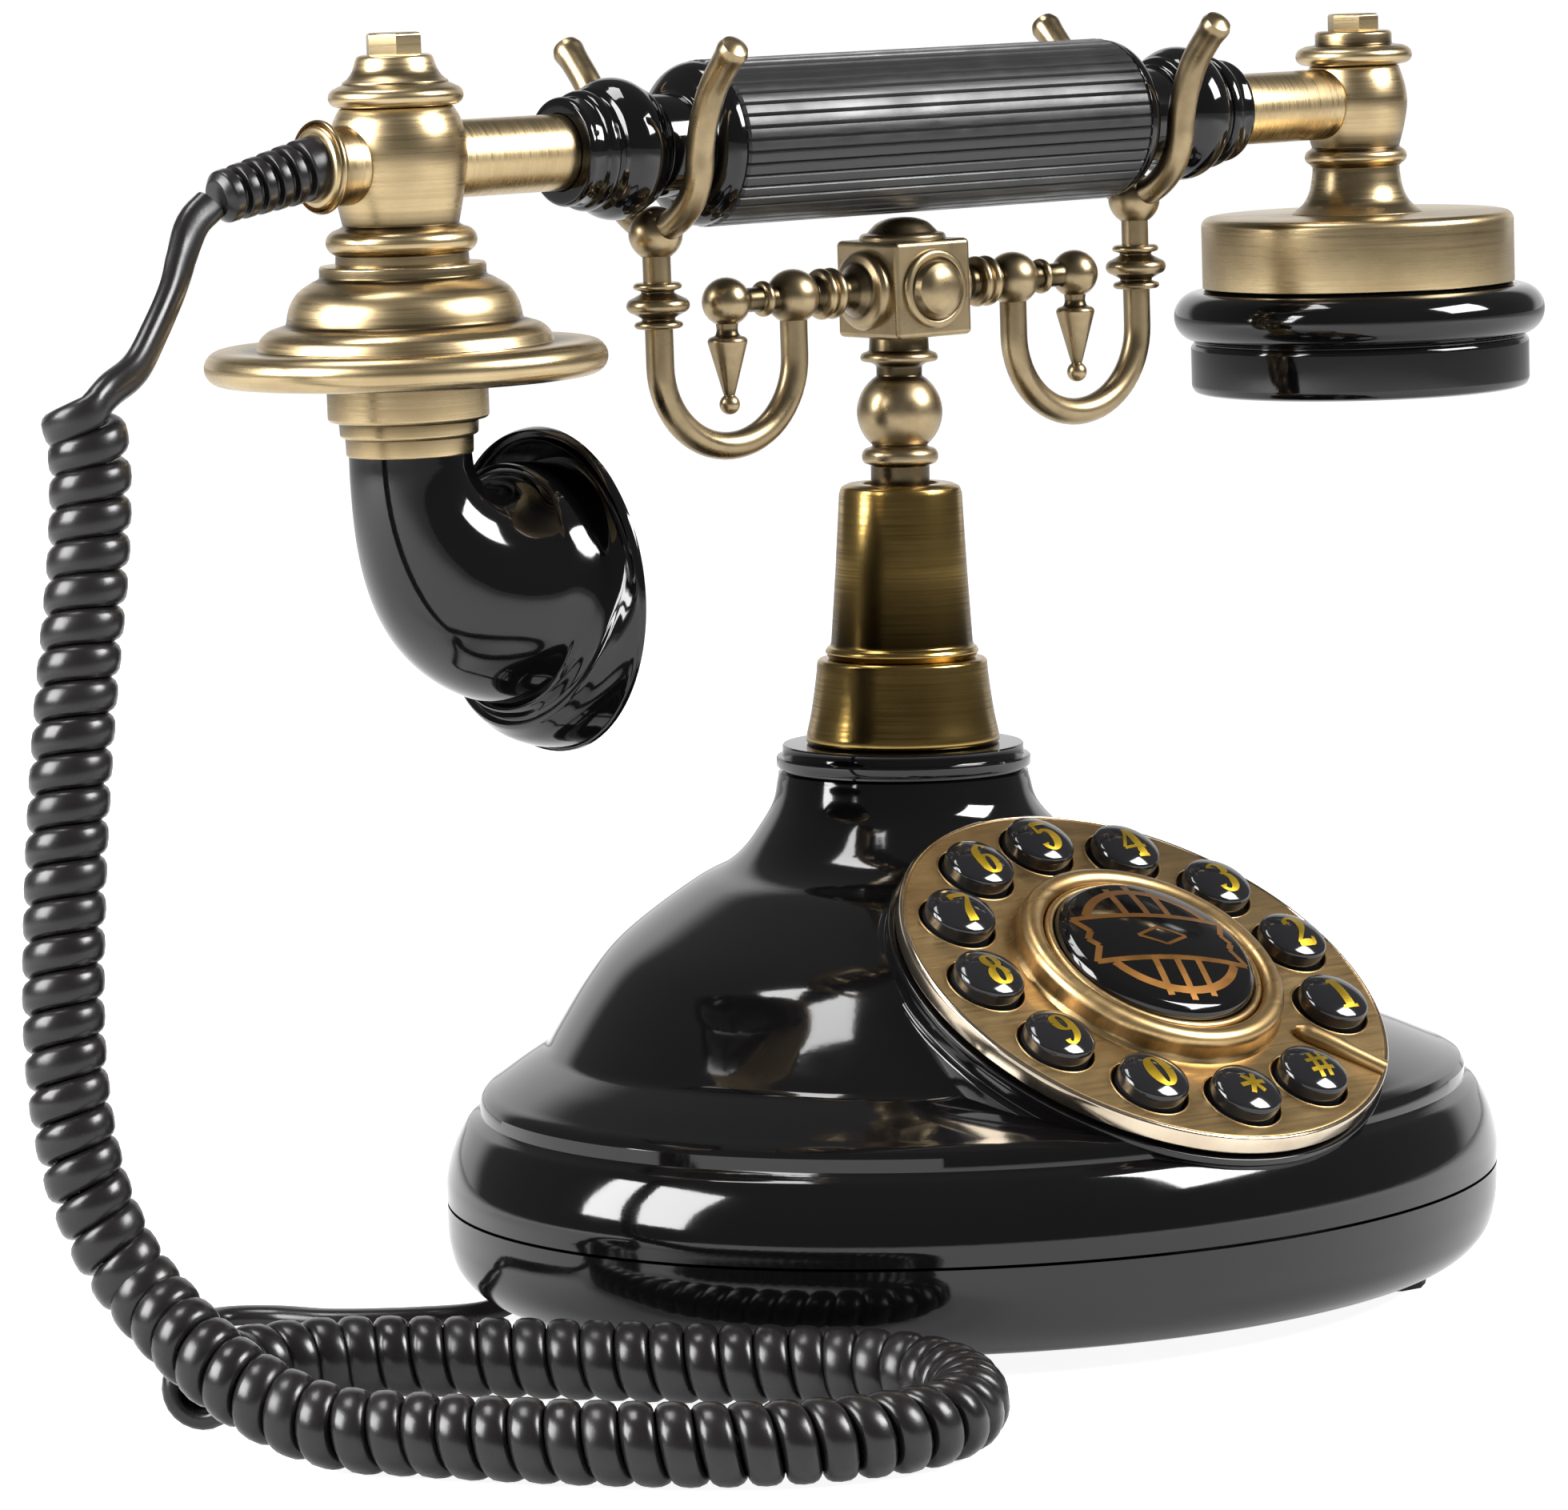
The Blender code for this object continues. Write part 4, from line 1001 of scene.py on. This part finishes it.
def make_horn():
    """A quarter-turn tube that widens to a thin flared lip, made as an outer and an inner wall."""
    reach_x, reach_z, top = 18.6, 22.3, -45.6
    radii = [9.65, 9.9, 10.6, 11.7, 13.1, 14.7, 16.3, 17.7, 18.8, 19.5]
    path = []
    for i in range(len(radii)):
        a = math.radians(90 * i / (len(radii) - 1))
        path.append((reach_x * (1 - math.cos(a)), top - reach_z * math.sin(a)))
    for x, z, radius in LIP:
        path.append((x, z))
        radii.append(radius)
    fine = spline([(*p, r) for p, r in zip(path, radii)], 5)
    walls = []
    for inset in (0.0, HORN_WALL):
        rings = []
        for i, point in enumerate(fine):
            before, after = fine[max(i - 1, 0)], fine[min(i + 1, len(fine) - 1)]
            along = Vector((after.x - before.x, 0, after.y - before.y)).normalized()
            if i == 0:
                along = Vector((0, 0, -1))
            out = Vector((0, 1, 0)).cross(along)
            size = point.z - inset
            turns = [math.tau * j / 96 for j in range(96)]
            centre = Vector((point.x, 0, point.y))
            rings.append(
                [centre + (Vector((0, 1, 0)) * math.cos(t) + out * math.sin(t)) * size for t in turns]
            )
        walls.append(rings)
    walls[1][-1] = [p.lerp(q, 0.25) for p, q in zip(walls[1][-1], walls[0][-1])]
    horn = skin([*walls[0], *reversed(walls[1])], True)
    place(horn, "horn", "black_gloss", LEFT_HEAD, "handset", ["mouthpiece_horn"])


def make_ferrule():
    ferrule = [
        (0, 9.0), (6.2, 9.0), (6.2, 13.6), (6.4, 14.0), (7.0, 14.1), *arc(6.6, 14.9, 0.75, 60, -60, 6),
        (6.2, 15.8), (5.6, 16.0), (0, 16.0),
    ]
    lathe("ferrule", ferrule, "antique_brass", LEFT_HEAD @ ALONG_MINUS_X, "handset", ["cord_ferrule"], 64)
    tilt = Matrix.Rotation(math.radians(RELIEF_DROOP), 4, "Y")
    droop = LEFT_HEAD @ shift(RELIEF_X, 0, 0) @ tilt @ ALONG_MINUS_X
    relief = [(0, -1.5), (4.9, -1.5), (4.9, 2.6)]
    for rib in range(5):
        low, size = 3.2 + 2.9 * rib, 4.8 - 0.16 * rib
        relief += [(size - 1.2, low - 0.3), (size - 1.2, low + 0.5)]
        relief += [(size, low + 0.8), (size - 0.05, low + 2.5)]
    relief += [(2.9, 18.4), (0, 18.4)]
    return lathe("cord_relief", relief, "cord_black", droop, "handset", ["strain_relief"], 48, round_off=0.3)


def make_receiver():
    head = [
        (0, -19.3), (11.6, -19.3),
        *spline([(11.0, -18.9), (9.3, -17.4), (8.2, -15.2), (7.7, -12.4), (7.6, -11.2)], 5),
    ]
    head += [
        *arc(7.6, -9.4, 1.35, -70, 70, 8), (7.6, -7.7),
        *spline([(7.8, -7.2), (8.7, -3.6), (9.2, 0.0), (8.8, 3.2), (7.8, 6.4)], 5), (0, 6.5),
    ]
    lathe("ear_barrel", head, "antique_brass", RIGHT_HEAD, "handset", ["receiver_head"])
    cap = [
        (0, 6.5), (7.6, 6.5), *arc(8.7, 8.2, 1.5, -80, 75, 8), (8.6, 9.9), (6.8, 10.1), (6.7, 10.5),
        (6.7, 12.1), (6.2, 12.5), (0, 12.6),
    ]
    lathe("ear_cap_top", cap, "antique_brass", RIGHT_HEAD, "handset", ["receiver_cap"])
    lathe("ear_cap_nut", NUT_RIGHT, "antique_brass", RIGHT_HEAD, "handset", count=6, round_off=0.25)
    drum = [(0, -19.3), (25.4, -19.3), *arc(25.8, -21.0, 1.6, 85, 5, 8), (27.4, -31.8), (0, -31.8)]
    lathe("ear_drum", drum, "antique_brass", RIGHT_HEAD, "handset", ["receiver_cup"], 144, round_off=0.2)
    bowl = [
        (26.6, -31.9), *arc(28.2, -36.7, 4.35, 95, -75, 18), (29.0, -41.3), (29.5, -41.7),
        (29.7, -42.2), (29.7, -48.9), (29.2, -49.9),
    ]
    bowl += [
        (28.0, -50.3), (24.5, -50.2), *spline([(22.0, -49.0), (15.0, -47.2), (7.0, -46.6)], 4),
        (6.2, -46.3), (6.0, -44.2), (24.4, -44.2), (24.4, -31.9),
    ]
    lathe("ear_piece", bowl, "black_gloss", RIGHT_HEAD, "handset", ["ear_cap"], 144, True)


# ---- the CAD parts that stay as they are ----

KEPT = {
    "foot_front_left": "foot_rubber",
    "foot_front_right": "foot_rubber",
    "foot_rear_left": "foot_rubber",
    "foot_rear_right": "foot_rubber",
    "handset_jack": "black_satin",
    "line_jack": "black_satin",
    "cord_plug": "clear_plug",
    "ballast_plate": "steel",
    "main_board": "board_green",
    "keypad_board": "board_green",
    "ringer": "black_satin",
    "hook_switch": "black_satin",
    "hook_spring": "steel",
    "microphone": "steel",
    "earphone": "steel",
}


def finish_kept():
    for name, look in KEPT.items():
        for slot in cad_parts[name].material_slots:
            slot.material = LOOKS[look]


# ---- studio ----

FLOOR_HALF = 30000
FLOOR_GLOW = 0.4
FLOOR_GLOW_TO_CAMERA = 0.92
BRIGHT_SIDE = (0.595, 0.757, -0.27)
BRIGHT_EDGE = (0.6, 0.74)
ROOM_STRENGTH = (0.14, 1.0)
BACKDROP_STRENGTH = 1.05
SOFTBOXES = (
    ("key_left", (-1.0, 0.2, 0.55), (0.65, 0.6), 24),
    ("key_right", (0.6, -0.8, 0.85), (0.6, 0.55), 28),
    ("top", (-0.3, 0.3, 1.4), (0.6, 0.4), 9),
)
AIM = Vector((0, 0, 0.1))


def make_floor():
    points = [(FLOOR_HALF * x, FLOOR_HALF * y, 0) for x, y in ((-1, -1), (1, -1), (1, 1), (-1, 1))]
    mesh = bpy.data.meshes.new("floor")
    mesh.from_pydata([tuple(Vector(p) * MM) for p in points], [], [(0, 1, 2, 3)])
    floor = bpy.data.objects.new("floor", mesh)
    bpy.context.scene.collection.objects.link(floor)
    n = Nodes("pale_floor")
    n.set(Base_Color=(0.5, 0.5, 0.5, 1.0), Roughness=0.7, Emission_Color=(1, 1, 1, 1))
    n.shader.inputs["Specular IOR Level"].default_value = 0.0
    seen = n.add("ShaderNodeLightPath").outputs["Is Camera Ray"]
    glow = n.remap(seen, 0.0, 1.0, FLOOR_GLOW, FLOOR_GLOW_TO_CAMERA)
    n.link(glow, n.shader.inputs["Emission Strength"])
    mesh.materials.append(n.material)


def softbox(name, at, size, power):
    data = bpy.data.lights.new(name, "AREA")
    data.shape = "RECTANGLE"
    data.size, data.size_y = size
    data.energy = power
    light = bpy.data.objects.new(name, data)
    bpy.context.scene.collection.objects.link(light)
    light.location = at
    light.rotation_euler = (AIM - Vector(at)).to_track_quat("-Z", "Y").to_euler()


def make_studio():
    """A dim room with one bright side, a white backdrop to the camera, and three softboxes."""
    world = bpy.data.worlds.new("studio")
    bpy.context.scene.world = world
    world.use_nodes = True
    tree = world.node_tree
    background = tree.nodes["Background"]
    background.inputs["Color"].default_value = (1.0, 1.0, 1.0, 1.0)
    place_on = tree.nodes.new("ShaderNodeTexCoord")
    facing = tree.nodes.new("ShaderNodeVectorMath")
    facing.operation = "DOT_PRODUCT"
    facing.inputs[1].default_value = BRIGHT_SIDE
    spread = tree.nodes.new("ShaderNodeMapRange")
    spread.interpolation_type = "SMOOTHSTEP"
    spread.inputs["From Min"].default_value, spread.inputs["From Max"].default_value = BRIGHT_EDGE
    spread.inputs["To Min"].default_value, spread.inputs["To Max"].default_value = ROOM_STRENGTH
    seen = tree.nodes.new("ShaderNodeLightPath")
    choose = tree.nodes.new("ShaderNodeMix")
    choose.inputs["B"].default_value = BACKDROP_STRENGTH
    tree.links.new(place_on.outputs["Generated"], facing.inputs[0])
    tree.links.new(facing.outputs["Value"], spread.inputs["Value"])
    tree.links.new(seen.outputs["Is Camera Ray"], choose.inputs["Factor"])
    tree.links.new(spread.outputs["Result"], choose.inputs["A"])
    tree.links.new(choose.outputs["Result"], background.inputs["Strength"])
    for name, at, size, power in SOFTBOXES:
        softbox(name, at, size, power)
    bpy.context.scene.view_settings.view_transform = "Standard"


make_base()
make_column()
make_dial()
make_cradle_post()
for side, way, turn in (("left", -1, ALONG_MINUS_X), ("right", 1, ALONG_X)):
    make_arm(side, way, turn)
    make_hook(side, way)
    make_fork(side, way)
    make_collar(side, turn)
make_grip()
make_transmitter()
make_horn()
relief = make_ferrule()
make_receiver()
finish_kept()
make_floor()
make_studio()
